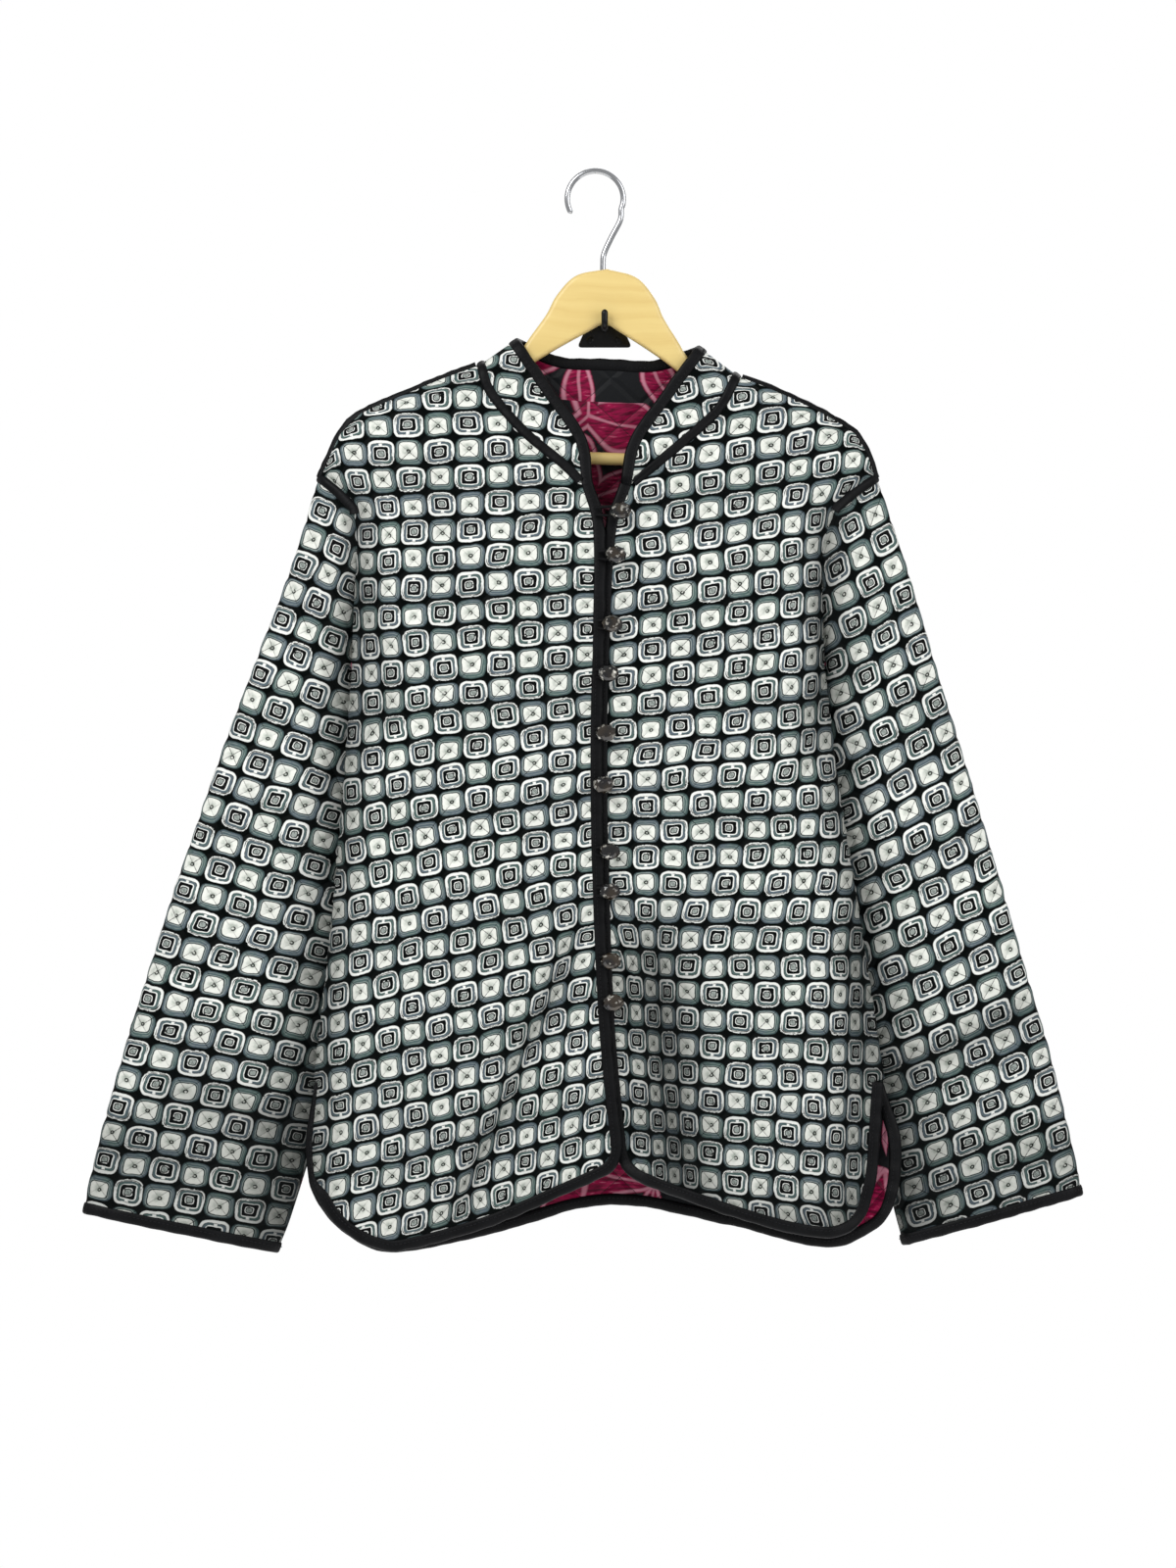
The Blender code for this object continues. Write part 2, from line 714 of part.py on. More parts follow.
def cut_back(pattern):
    """The back, between the side seams, armholes, shoulders and neck."""
    outline = list(pattern.back_in) + pattern.side_seam["left"][::-1]
    outline += pattern.arm_back["left"][::-1][1:] + pattern.ridge["left"][::-1][1:]
    outline += pattern.back_seam[::-1][1:] + pattern.ridge["right"][1:]
    outline += pattern.arm_back["right"][1:] + pattern.side_seam["right"][1:]
    sheet = Sheet("back")
    rolled = [pattern.ridge["left"][::-1], pattern.ridge["right"]]
    rolled += [pattern.side_seam["left"][::-1], pattern.side_seam["right"]]
    sheet.add_patch(outline, back_depth, False, rolled=rolled)
    return sheet


def cut_collar(pattern):
    """The collar: a crescent on each front and a band across the back."""
    sheet = Sheet("collar")
    for side in SIDE_NAMES:
        outline = pattern.collar_seam[side] + pattern.neck_in[side][::-1][1:]
        outline += pattern.neck_side[side][-2:0:-1]
        sheet.add_patch(outline, front_depth, True, rolled=[pattern.neck_side[side][::-1]])
    outline = pattern.back_seam + pattern.neck_side["left"][1:-1] + pattern.back_neck_in[::-1]
    outline += pattern.neck_side["right"][-2:0:-1]
    rolled = [pattern.neck_side["left"], pattern.neck_side["right"][::-1]]
    sheet.add_patch(outline, back_depth, False, rolled=rolled)
    return sheet


def cut_sleeve(pattern, side):
    """A sleeve: its front and back between the outer and inner folds, from armhole to cuff."""
    rows = SLEEVES[side]
    cuff = [Vector(corner) for corner in CUFFS[side]]
    folds = []
    for column, corner in zip(("outer", "inner"), cuff):
        top = at_level(rows, corner.y + CUFF_RUN, column)
        step = Vector((top, corner.y + CUFF_RUN)) - corner
        folds.append(corner + step.normalized() * BINDING_WIDE)
    outer = [Vector((row.outer, SLEEVE_Y, row.level)) for row in rows
             if row.level > folds[0].y + CUFF_CLEAR]
    outer = spaced(outer + [Vector((folds[0].x, SLEEVE_Y, folds[0].y))], SEAM_STEP)
    inner = [Vector((row.inner, row.depth, row.level)) for row in rows
             if folds[1].y + CUFF_CLEAR < row.level <= UNDERARM]
    inner = spaced(inner + [Vector((folds[1].x, rows[-1].depth, folds[1].y))], SEAM_STEP)
    mouth = along([folds[1], folds[0]], SEAM_STEP)
    mouth_out = [cuff[1].lerp(cuff[0], k / (len(mouth) - 1)) for k in range(len(mouth))]
    sheet = Sheet("sleeve_" + side)
    rims = {}
    for face, arm in (("front", pattern.arm_front[side]), ("back", pattern.arm_back[side])):
        depth = sleeve_depth(side, face)
        rim = drape(mouth, depth)
        rim[0] = inner[-1].copy()
        rim[-1] = outer[-1].copy()
        outline = arm + inner[1:] + rim[1:] + outer[::-1][1:-1]
        tilt = -SLEEVE_TILT if side == "right" else SLEEVE_TILT
        sheet.add_patch(outline, depth, face == "front", tilt, [inner, outer[::-1]])
        rims[face] = rim
    ring_in = rims["front"] + rims["back"][::-1][1:-1]
    ring_out = mouth_out + mouth_out[::-1][1:-1]
    return sheet, ring_in, ring_out


# Trim

def binding_rings(inner, outer, sheet):
    """Sections of a binding, from a panel's edge out to the edge of the garment."""
    low = -WALL - BINDING_PROUD
    section = [
        (SEAM_GAP, low),
        (BINDING_WIDE - BINDING_ROLL, low),
        (BINDING_WIDE, low + BINDING_ROLL - BINDING_EASE),
        (BINDING_WIDE, BINDING_PROUD - BINDING_ROLL + BINDING_EASE),
        (BINDING_WIDE - BINDING_ROLL, BINDING_PROUD),
        (SEAM_GAP, BINDING_PROUD),
    ]
    rings = []
    for place, edge in zip(inner, outer):
        out = Vector((edge.x - place.x, 0, edge.y - place.z)) / BINDING_WIDE
        normal = sheet.normals[sheet.places[place_key(place)]]
        flat = out.normalized()
        normal = (normal - flat * normal.dot(flat)).normalized()
        rings.append([place + out * a + normal * b for a, b in section])
    return rings


def pulled_back(rings, start, end):
    """Move the end sections of a strip inwards, to leave room for the next piece."""
    rings = list(rings)
    for first, second, gap in ((0, 1, start), (-1, -2, end)):
        if gap:
            step = (rings[second][0] - rings[first][0]).normalized() * gap
            rings[first] = [corner + step for corner in rings[first]]
    return rings


def seam_frame(place, run, sheets):
    """Normal and inward direction of the panels on one side of a seam."""
    found = [(sheet, sheet.places[place_key(place)]) for sheet in sheets
             if place_key(place) in sheet.places]
    normal = sum((sheet.normals[k] for sheet, k in found), Vector())
    inward = sum((sheet.inward[k] for sheet, k in found), Vector())
    normal = (normal - run * normal.dot(run)).normalized()
    across = run.cross(normal)
    return normal, across if across.dot(inward) > 0 else -across


def tape_rings(path, first_side, second_side, lift):
    """Sections of a tape that lies over a seam between two sides."""
    rings = []
    for k, place in enumerate(path):
        run = (path[min(k + 1, len(path) - 1)] - path[max(k - 1, 0)]).normalized()
        one, reach_one = seam_frame(place, run, first_side)
        two, reach_two = seam_frame(place, run, second_side)
        middle = mitre(one, two)
        half = TAPE_WIDE / 2
        spots = [(reach_one * half, one), (Vector(), middle), (reach_two * half, two)]
        low = [place + reach + up * lift for reach, up in spots]
        high = [place + reach + up * (lift + TAPE_THICK) for reach, up in spots]
        rings.append(low + high[::-1])
    return rings


def clip_rings(rings, start, end):
    """A strip without its first and last stretches, cut square to its path."""
    middle = [ring[1] for ring in rings]
    reach = [0.0]
    for a, b in zip(middle, middle[1:]):
        reach.append(reach[-1] + (b - a).length)
    stops = [start] + [r for r in reach if start + 2 < r < reach[-1] - end - 2] + [reach[-1] - end]
    clipped = []
    for stop in stops:
        k = max(j for j in range(len(reach) - 1) if reach[j] <= stop or j == 0)
        part = (stop - reach[k]) / (reach[k + 1] - reach[k])
        clipped.append([a.lerp(b, part) for a, b in zip(rings[k], rings[k + 1])])
    return clipped


def add_bindings(pattern, sheets, cuffs, collection, material):
    """Every binding, each on the panel that it edges."""
    half = SEAM_GAP / 2
    for side in SIDE_NAMES:
        rings = binding_rings(pattern.edge_in[side], pattern.edge_out[side], sheets["front_" + side])
        rings = pulled_back(rings, half, 0)
        add_strip("front_binding_" + side, rings, False, collection, material)
        ring_in, ring_out = cuffs[side]
        rings = binding_rings(ring_in, ring_out, sheets["sleeve_" + side])
        add_strip("cuff_binding_" + side, rings, True, collection, material)
    rings = binding_rings(pattern.back_in, pattern.back_out, sheets["back"])
    add_strip("back_binding", rings, False, collection, material)
    inner = pattern.neck_in["right"][::-1] + pattern.back_neck_in[1:-1] + pattern.neck_in["left"]
    outer = pattern.neck_out["right"][::-1] + pattern.back_neck_out[1:-1] + pattern.neck_out["left"]
    rings = pulled_back(binding_rings(inner, outer, sheets["collar"]), half, half)
    add_strip("neck_binding", rings, False, collection, material)


def add_tapes(pattern, sheets, collection, material):
    """The tapes over the collar, shoulder and armhole seams."""
    body = [sheets["front_right"], sheets["front_left"], sheets["back"]]
    path = pattern.collar_seam["right"][::-1] + pattern.back_seam[1:-1] + pattern.collar_seam["left"]
    rings = tape_rings(path, [sheets["collar"]], body, TAPE_LIFT)
    rings = clip_rings(rings, TAPE_TRIM, TAPE_TRIM)
    add_strip("collar_tape", rings, False, collection, material)
    for side in SIDE_NAMES:
        front = sheets["front_" + side]
        rings = tape_rings(pattern.ridge[side], [front], [sheets["back"]], SHOULDER_LIFT)
        rings = clip_rings(rings, TAPE_CROSS, TAPE_CROSS)
        add_strip("shoulder_tape_" + side, rings, False, collection, material)
        path = pattern.arm_front[side][TAPE_FRONT::-1] + pattern.arm_back[side][1:-1]
        rings = tape_rings(path, [front, sheets["back"]], [sheets["sleeve_" + side]], TAPE_LIFT)
        add_strip("armhole_tape_" + side, rings, False, collection, material)


def add_fastenings(pattern, collection, cord, gloss):
    """Cord loops on the right front's edge, and the buttons that they hold."""
    edge_levels = [-p.y for p in pattern.edge_out["right"]]
    edge_reach = [p.x for p in pattern.edge_out["right"]]
    for number, spot in enumerate(BUTTONS, 1):
        edge = float(np.interp(-spot.z, edge_levels, edge_reach))
        shank = max(spot.x, edge + SHANK_CLEAR)
        binding = min(front_depth(edge - BINDING_WIDE, spot.z + rise) for rise in (-SEAM_STEP, 0, SEAM_STEP))
        binding -= BINDING_PROUD
        loop_y = binding - SEAM_GAP - CORD_RADIUS
        root = edge - LOOP_ROOT
        turns = [(shank + LOOP_RADIUS * math.cos(a), loop_y, spot.z + LOOP_RADIUS * math.sin(a))
                 for a in np.radians(np.linspace(90, -90, 6))]
        route = [(root, loop_y, spot.z + LOOP_RADIUS), *turns, (root, loop_y, spot.z - LOOP_RADIUS)]
        wire(f"loop_{number}", route, CORD_RADIUS, collection, cord)
        head = loop_y - CORD_RADIUS - SEAM_GAP
        cloth = lapped_depth(shank, spot.z) - BINDING_PROUD - SEAM_GAP
        wide, tall = BUTTON_WIDE / 2, BUTTON_TALL / 2
        rows = [(y, shank, SHANK_RADIUS, SHANK_RADIUS) for y in (cloth, head)]
        rows += [(head - facet.forward, spot.x, wide * facet.share, tall * facet.share)
                 for facet in BUTTON_FACETS]
        turns = np.radians((np.arange(BUTTON_SIDES) + 0.5) * 360 / BUTTON_SIDES)
        rings = [[Vector((x + across * math.cos(a), y, spot.z + up * math.sin(a))) for a in turns]
                 for y, x, across, up in rows]
        add_strip(f"button_{number}", rings, False, collection, gloss)


# Hanger and wall hook

def add_hanger(collection, wood, chrome):
    """The shaped wooden arms with their bar, tilted a little, and the wire hook."""
    tilt = bpy.data.objects.new("hanger_tilt", None)
    tilt.rotation_euler.y = math.radians(HANGER_TILT)
    tilt.location.y = RIDGE_Y * MM
    collection.objects.link(tilt)
    top = spaced([Vector(point) for point in HANGER_TOP], HANGER_STEP)
    half = top + [Vector(point) for point in HANGER_FOOT + HANGER_UNDER]
    mirrored = [Vector((-p.x, p.y)) for p in half[::-1]]
    outline = half + [Vector((0, NOTCH_TOP))] + mirrored[:-1]
    board = plank("hanger_wood", outline, HANGER_THICK, HANGER_ROUND, collection, wood)
    reach = BAR_REACH - SEAM_GAP
    bar = wire("hanger_bar", [(-reach, 0, BAR_LEVEL), (reach, 0, BAR_LEVEL)], BAR_RADIUS, collection,
               wood, 3)
    board.parent = tilt
    bar.parent = tilt
    bend = np.radians(np.linspace(HOOK_TIP, HOOK_LEAVE, 15))
    route = [Vector((HOOK_CENTRE.x + HOOK_RADIUS * math.cos(a), HOOK_CENTRE.z + HOOK_RADIUS * math.sin(a)))
             for a in bend]
    route += [Vector(point) for point in HOOK_STEM]
    route.append(Vector((HOOK_STEM[-1].x, HANGER_TOP[0].z + SEAM_GAP)))
    wire("hanger_hook", [(p.x, RIDGE_Y, p.y) for p in route], WIRE_RADIUS, collection, chrome, 2)


def add_wall_hook(collection, cutters, black):
    """A plate on the wall with a prong that carries the hanger at its notch."""
    corners = []
    ring = [Vector(point) for point in PLATE]
    for before, corner, after in zip(ring[-1:] + ring[:-1], ring, ring[1:] + ring[:1]):
        start = corner + (before - corner).normalized() * PLATE_CORNER
        end = corner + (after - corner).normalized() * PLATE_CORNER
        corners += [start.lerp(corner, t).lerp(corner.lerp(end, t), t) for t in np.linspace(0, 1, 4)]
    board = plank("wall_plate", corners, PLATE_THICK, 0.0, collection, black)
    board.location.y = -PLATE_THICK / 2 * MM
    bend = PRONG_RADIUS * 2
    turns = np.radians(np.linspace(0, 90, 4))
    route = [(0, -PLATE_THICK / 2, PRONG_LEVEL)]
    route += [(0, -PRONG_REACH + bend - bend * math.sin(a), PRONG_LEVEL + bend - bend * math.cos(a))
              for a in turns]
    route.append((0, -PRONG_REACH, PRONG_TIP))
    prong = wire("prong", route, PRONG_RADIUS, collection, black, 2)
    solids = [as_mesh(curve, collection) for curve in (board, prong)]
    solids[0].name = "wall_hook"
    collection.objects.unlink(solids[1])
    cutters.objects.link(solids[1])
    solids[1].hide_render = True
    solids[1].display_type = "WIRE"
    join = solids[0].modifiers.new("prong", "BOOLEAN")
    join.operation = "UNION"
    join.object = solids[1]


def as_mesh(curve, collection):
    """A curve object made a welded mesh object in the same place."""
    bpy.context.view_layer.update()
    evaluated = curve.evaluated_get(bpy.context.evaluated_depsgraph_get())
    mesh = bpy.data.meshes.new_from_object(evaluated)
    bm = bmesh.new()
    bm.from_mesh(mesh)
    bmesh.ops.remove_doubles(bm, verts=bm.verts, dist=1e-6)
    bmesh.ops.recalc_face_normals(bm, faces=bm.faces)
    bm.to_mesh(mesh)
    bm.free()
    body = bpy.data.objects.new(curve.name, mesh)
    body.matrix_world = curve.matrix_world.copy()
    collection.objects.link(body)
    bpy.data.objects.remove(curve)
    return body


def main():
    """Build the jacket, the hanger and the wall hook."""
    for old in list(bpy.data.objects):
        bpy.data.objects.remove(old)
    jacket = bpy.data.collections.new("reversible_jacket")
    cutters = bpy.data.collections.new("cutters")
    for collection in (jacket, cutters):
        bpy.context.scene.collection.children.link(collection)
    satin = finish("quilted_satin", (0.2, 0.22, 0.22), 0.45)
    binding = finish("black_binding", (0.012, 0.012, 0.016), 0.55)
    cord = finish("black_cord", (0.01, 0.01, 0.012), 0.6)
    gloss = finish("smoky_button", (0.02, 0.02, 0.022), 0.12)
    wood = finish("pale_wood", (0.72, 0.52, 0.25), 0.45)
    chrome = finish("chrome_wire", (0.75, 0.75, 0.77), 0.12, 1.0)
    black = finish("black_iron", (0.01, 0.01, 0.012), 0.4, 0.6)

    pattern = Pattern()
    sheets = {}
    cuffs = {}
    for side in SIDE_NAMES:
        sheets["front_" + side] = cut_front(pattern, side)
        sleeve, ring_in, ring_out = cut_sleeve(pattern, side)
        sheets["sleeve_" + side] = sleeve
        cuffs[side] = (ring_in, ring_out)
    sheets["back"] = cut_back(pattern)
    sheets["collar"] = cut_collar(pattern)
    for sheet in sheets.values():
        sheet.finish()
    share_seams(sheets.values())
    for sheet in sheets.values():
        add_wall(sheet, jacket, satin)
    add_bindings(pattern, sheets, cuffs, jacket, binding)
    add_tapes(pattern, sheets, jacket, binding)
    add_fastenings(pattern, jacket, cord, gloss)
    add_hanger(jacket, wood, chrome)
    add_wall_hook(jacket, cutters, black)


main()
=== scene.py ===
"""Looks of a reversible quilted jacket on a wooden hanger, hung from a hook on a wall.

Tables and sizes are in millimetres and repeat those of the solids; meshes are in metres. +Z is up,
the front faces -Y and the wall is the plane Y = 0. Sides are the wearer's, so right is at -X.
"""

import logging
import math
from collections import namedtuple
from collections.abc import Callable, Sequence
from dataclasses import dataclass, field
from enum import Enum

import bmesh
import bpy
import numpy as np
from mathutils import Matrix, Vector
from mathutils.geometry import delaunay_2d_cdt


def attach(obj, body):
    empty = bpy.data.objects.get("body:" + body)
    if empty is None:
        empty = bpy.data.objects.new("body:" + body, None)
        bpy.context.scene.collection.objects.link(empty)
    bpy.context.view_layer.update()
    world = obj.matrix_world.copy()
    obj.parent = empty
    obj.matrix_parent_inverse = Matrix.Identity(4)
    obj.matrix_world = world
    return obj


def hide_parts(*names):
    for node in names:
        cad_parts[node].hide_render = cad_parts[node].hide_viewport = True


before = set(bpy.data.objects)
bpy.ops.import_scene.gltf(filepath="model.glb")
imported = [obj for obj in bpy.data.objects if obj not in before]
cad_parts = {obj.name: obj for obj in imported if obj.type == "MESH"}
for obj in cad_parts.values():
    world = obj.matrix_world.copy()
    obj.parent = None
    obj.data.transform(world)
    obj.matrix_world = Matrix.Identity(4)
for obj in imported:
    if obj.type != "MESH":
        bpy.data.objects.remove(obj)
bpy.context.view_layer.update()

MM = 0.001
BODY = "root"
UV_NAME = "cloth"
# Point attribute of painted shade: the share of light each place of the cloth gets, multiplied into the
# print's colour
SHADE_NAME = "shade"
TINY = 1e-9
MITRE_FLOOR = 0.6
log = logging.getLogger("jacket")

Array = np.ndarray
Material = bpy.types.Material
Depth = Callable[[Array, Array], Array]
Colour = tuple[float, float, float]
Fall = tuple[float, float]


class Side(Enum):
    """The wearer's two sides, each with its direction along X."""

    RIGHT = -1
    LEFT = 1

    @property
    def key(self) -> str:
        """The side's name as the nodes and tables spell it."""
        return self.name.lower()


class Face(Enum):
    """The two faces of a flattened sleeve, each with its direction along Y."""

    FRONT = -1
    BACK = 1

    @property
    def key(self) -> str:
        """The face's name as the tables spell it."""
        return self.name.lower()


# Shoulder ridge: distance out and height, from the collar seam to the sleeve
Pair = namedtuple("Pair", "right_x right_z left_x left_z")
RIDGE = [
    Pair(-99, -27, 106, -36),
    Pair(-130, -38, 125, -43),
    Pair(-161, -51, 144, -51),
    Pair(-195, -66, 175, -66),
    Pair(-211, -82, 200, -82),
    Pair(-219, -98, 210, -98),
    Pair(-228, -118, 217, -118),
]
# Collar seam from the neck's side to the front edge
COLLAR_SEAM = [
    Pair(-99, -27, 106, -36),
    Pair(-91, -50, 92, -62),
    Pair(-64, -82, 74, -80),
    Pair(-33, -108, 47, -103),
]
# Outer edge of the neck binding from the neck's side to the front edge
NECK_EDGE = [
    Pair(-69, -6, 74, -12),
    Pair(-41, -47, 45, -51),
    Pair(-15, -86, 20, -88),
    Pair(-9, -123, 12, -123),
]
# Outer edge of the front binding, from the neck to the hem
FRONT_EDGE = [
    Pair(-9, -123, 12, -123),
    Pair(0, -160, 0, -160),
    Pair(0, -238, -5, -238),
    Pair(-2, -324, -7, -324),
    Pair(-1, -425, -6, -425),
    Pair(5, -558, -1, -558),
    Pair(16, -667, 10, -671),
]
# Front hem from the middle, round the vent's corner and up the vent
FRONT_HEM = [
    Pair(16, -667, 10, -671),
    Pair(-44, -694, 65, -694),
    Pair(-91, -714, 127, -714),
    Pair(-146, -730, 165, -722),
    Pair(-176, -733, 188, -721),
    Pair(-210, -716, 206, -708),
    Pair(-230, -686, 216, -675),
    Pair(-235, -650, 219, -640),
    Pair(-230.5, -600, 221.5, -600),
]
Point = namedtuple("Point", "x z")
# Back hem with both vents, from the right side to the left
BACK_HEM = [
    Point(-230.5, -600),
    Point(-238, -650),
    Point(-232, -690),
    Point(-210, -719),
    Point(-170, -737),
    Point(-91, -723),
    Point(2, -700),
    Point(96, -715),
    Point(172, -733),
    Point(206, -724),
    Point(229, -702),
    Point(236, -650),
    Point(221.5, -600),
]
BACK_NECK_EDGE = [Point(-69, -6), Point(-35, -20), Point(2, -22), Point(40, -23), Point(74, -12)]
BACK_NECK_SEAM = [Point(-99, -27), Point(-60, -50), Point(2, -57), Point(64, -55), Point(106, -36)]
NECK_RISE = [Point(-35, 0), Point(35, -3)]

# Sides of the body by level: where each fold lies and how deep its front and back edges are
Flank = namedtuple("Flank", "level right left front back")
FLANKS = [
    Flank(-20, -300, 290, -20, -20),
    Flank(-118, -228, 217, -20, -20),
    Flank(-121, -224, 213, -27, -14),
    Flank(-130, -213, 200, -32, -12),
    Flank(-143, -200, 184, -38, -12),
    Flank(-170, -197, 174, -43, -12),
    Flank(-207, -199, 173, -44, -15),
    Flank(-245, -201, 174.5, -41, -22),
    Flank(-272, -202, 176, -33, -33),
    Flank(-310, -204.5, 180, -40, -40),
    Flank(-363, -208, 186, -45, -45),
    Flank(-480, -218, 205, -47, -47),
    Flank(-597, -231.5, 222.5, -49, -49),
    Flank(-745, -242, 240, -51, -49),
]
SHOULDER_POINT = -118
UNDERARM = -272
VENT_TOP = -597

# Sleeves by level: outer and inner edges, depth of the inner edge, swell of the front and the back
SleeveRow = namedtuple("SleeveRow", "level outer inner depth front back")
SLEEVES = {
    Side.RIGHT: [
        SleeveRow(-118, -228, -227, -20, 2, 2),
        SleeveRow(-175, -245, -197, -28, 7, 6),
        SleeveRow(-207, -256, -199, -30, 10, 8),
        SleeveRow(-272, -281, -202, -33, 11, 10),
        SleeveRow(-331, -303, -197, -21, 14, 12),
        SleeveRow(-394, -325, -199, -19, 17, 13),
        SleeveRow(-456, -346, -204, -19, 17, 13),
        SleeveRow(-519, -366, -210, -19, 17, 13),
        SleeveRow(-581, -385, -218, -19, 16, 13),
        SleeveRow(-643, -402, -231, -19, 15, 12),
        SleeveRow(-706, -417, -250, -19, 14, 12),
        SleeveRow(-750, -428, -266, -19, 14, 12),
    ],
    Side.LEFT: [
        SleeveRow(-118, 217, 216, -20, 2, 2),
        SleeveRow(-175, 236, 174, -28, 7, 6),
        SleeveRow(-207, 246, 173, -30, 10, 8),
        SleeveRow(-272, 265, 176, -33, 11, 10),
        SleeveRow(-331, 283, 171, -21, 14, 12),
        SleeveRow(-394, 302, 178, -19, 17, 13),
        SleeveRow(-456, 320, 190, -19, 17, 13),
        SleeveRow(-519, 338, 200, -19, 17, 13),
        SleeveRow(-581, 356, 210, -19, 16, 13),
        SleeveRow(-643, 371, 221, -19, 15, 12),
        SleeveRow(-692, 382, 229, -19, 14, 12),
        SleeveRow(-750, 396, 244, -19, 14, 12),
    ],
}
Cuff = namedtuple("Cuff", "outer inner")
CUFFS = {
    Side.RIGHT: Cuff(Point(-417, -706), Point(-262, -738)),
    Side.LEFT: Cuff(Point(382, -692), Point(239, -732)),
}
BUTTONS = [
    Point(13, -146),
    Point(9, -181),
    Point(6, -236),
    Point(3, -275),
    Point(1, -322),
    Point(-1, -363),
    Point(4, -416),
    Point(4, -448),
    Point(5, -503),
    Point(7, -536),
]
# Faceted head of a button from its back to its front: distance forward, share of its size, turn in sides
Facet = namedtuple("Facet", "forward size turn")
FACETS = [
    Facet(0.4, 0.72, 0.0),
    Facet(2.6, 1.0, 0.5),
    Facet(3.6, 1.0, 0.5),
    Facet(5.4, 0.82, 0.0),
    Facet(6.9, 0.55, 0.5),
    Facet(7.4, 0.2, 0.0),
]

# Slant of the print's rows by level, as rise over run, on each front and each sleeve
Slant = namedtuple("Slant", "level right left sleeve_right sleeve_left")
SLANTS = [
    Slant(-100, 0.03, 0.15, 0.38, 0.48),
    Slant(-190, 0.05, 0.155, 0.36, 0.48),
    Slant(-280, 0.095, 0.115, 0.33, 0.47),
    Slant(-370, 0.155, 0.055, 0.29, 0.46),
    Slant(-460, 0.2, 0.0, 0.24, 0.43),
    Slant(-560, 0.235, -0.03, 0.19, 0.41),
    Slant(-650, 0.255, -0.08, 0.165, 0.36),
    Slant(-740, 0.265, -0.15, 0.15, 0.32),
]
# Tucks of hanging cloth: a line on a front, its width, the cloth it takes up, its depth, and how much
# the cloth beyond it is turned away
Tuck = namedtuple("Tuck", "side x0 z0 x1 z1 wide takes deep turned")
TUCKS = [
    Tuck(Side.RIGHT, -10, -440, -106, -668, 22, 13, 5.0, 0.2),
    Tuck(Side.LEFT, 22, -430, 55, -690, 56, 34, 9.0, 0.0),
    Tuck(Side.LEFT, 196, -430, 192, -690, 34, 14, 6.0, 0.0),
    Tuck(Side.LEFT, 182, -170, 158, -330, 24, 7, 4.0, 0.0),
    Tuck(Side.RIGHT, -196, -170, -176, -300, 20, 5, 3.0, 0.0),
]
# Creases across the front of a sleeve: a line, its width and its depth
Crease = namedtuple("Crease", "side x0 z0 x1 z1 wide deep")
CREASES = [
    Crease(Side.LEFT, 222, -600, 318, -552, 30, 4.5),
    Crease(Side.RIGHT, -240, -640, -330, -612, 34, 3.0),
]


# Curves

def smooth_path(knots: Sequence[Sequence[float]], step: float) -> Array:
    """Run a smooth curve through knots.

    Args:
        knots: Points that the curve passes through.
        step: Distance between the points of the result.

    Returns:
        Points an even distance apart on the curve.
    """
    points = np.asarray(knots, float)
    padded = np.vstack([2 * points[0] - points[1], points, 2 * points[-1] - points[-2]])
    part = np.linspace(0, 1, 24, endpoint=False)[:, None]
    spans = []
    for a, b, c, d in zip(padded, padded[1:], padded[2:], padded[3:]):
        cubic = 3 * (b - c) + d - a
        spans.append(b + 0.5 * part * (c - a + part * (2 * a - 5 * b + 4 * c - d + part * cubic)))
    return even_path(np.vstack(spans + [points[-1:]]), step)


def path_reach(path: Array) -> Array:
    """Distance along a path to each of its points."""
    return np.concatenate([[0.0], np.cumsum(np.linalg.norm(np.diff(path, axis=0), axis=1))])


def even_path(path: Array, step: float) -> Array:
    """Points an even distance apart on a run of straight steps."""
    reach = path_reach(path)
    count = max(2, round(reach[-1] / step))
    wanted = np.linspace(0, reach[-1], count + 1)
    return np.column_stack([np.interp(wanted, reach, column) for column in path.T])


def unit(vectors: Array) -> Array:
    """One vector, or each of several, at length 1."""
    return vectors / np.linalg.norm(vectors, axis=-1, keepdims=True)


def path_normals(path: Array) -> Array:
    """Left-hand unit normals of a path in the front view, lengthened at its bends."""
    steps = unit(np.diff(path, axis=0))
    lefts = np.column_stack([-steps[:, 1], steps[:, 0]])
    before = np.vstack([lefts[:1], lefts])
    after = np.vstack([lefts, lefts[-1:]])
    meet = np.maximum(1 + (before * after).sum(1), MITRE_FLOOR)
    return (before + after) / meet[:, None]


def eased_corner(path: Array, corner: Array, room: float, step: float) -> Array:
    """Round off a corner of a path.

    Args:
        path: Points in the front view.
        corner: The corner's place.
        room: Distance from the corner at which the rounding starts and ends.
        step: Distance between the points of the result.

    Returns:
        The path with the corner rounded.
    """
    reach = path_reach(path)
    at = reach[np.argmin(np.linalg.norm(path - corner, axis=1))]
    start, end = ([np.interp(at + side * room, reach, column) for column in path.T] for side in (-1, 1))
    part = np.linspace(0, 1, 12)[:, None]
    bend = (1 - part) ** 2 * start + 2 * part * (1 - part) * corner + part ** 2 * end
    return even_path(np.vstack([path[reach < at - room], bend, path[reach > at + room]]), step)


def pair_knots(rows: Sequence[Pair], side: Side) -> Array:
    """One side's knots from a table with both sides."""
    return np.array([(getattr(row, side.key + "_x"), getattr(row, side.key + "_z")) for row in rows], float)


def at_level(rows: Sequence[tuple], level: Array, column: str) -> Array:
    """A column's values at some levels, straight between the table's rows."""
    return np.interp(-np.asarray(level, float), [-row.level for row in rows],
                     [getattr(row, column) for row in rows])


def ease(t: Array) -> Array:
    """Smooth step from 0 to 1."""
    t = np.clip(t, 0, 1)
    return t * t * (3 - 2 * t)


def falling(z: Array, top: float, drop: float) -> Array:
    """Smooth step from 0 at a level to 1 some way below it."""
    return ease((top - z) / drop)


def nearing(share: Array, start: float) -> Array:
    """Smooth step from 0 at some share of the way to 1 at its end."""
    return ease((share - start) / (1 - start))


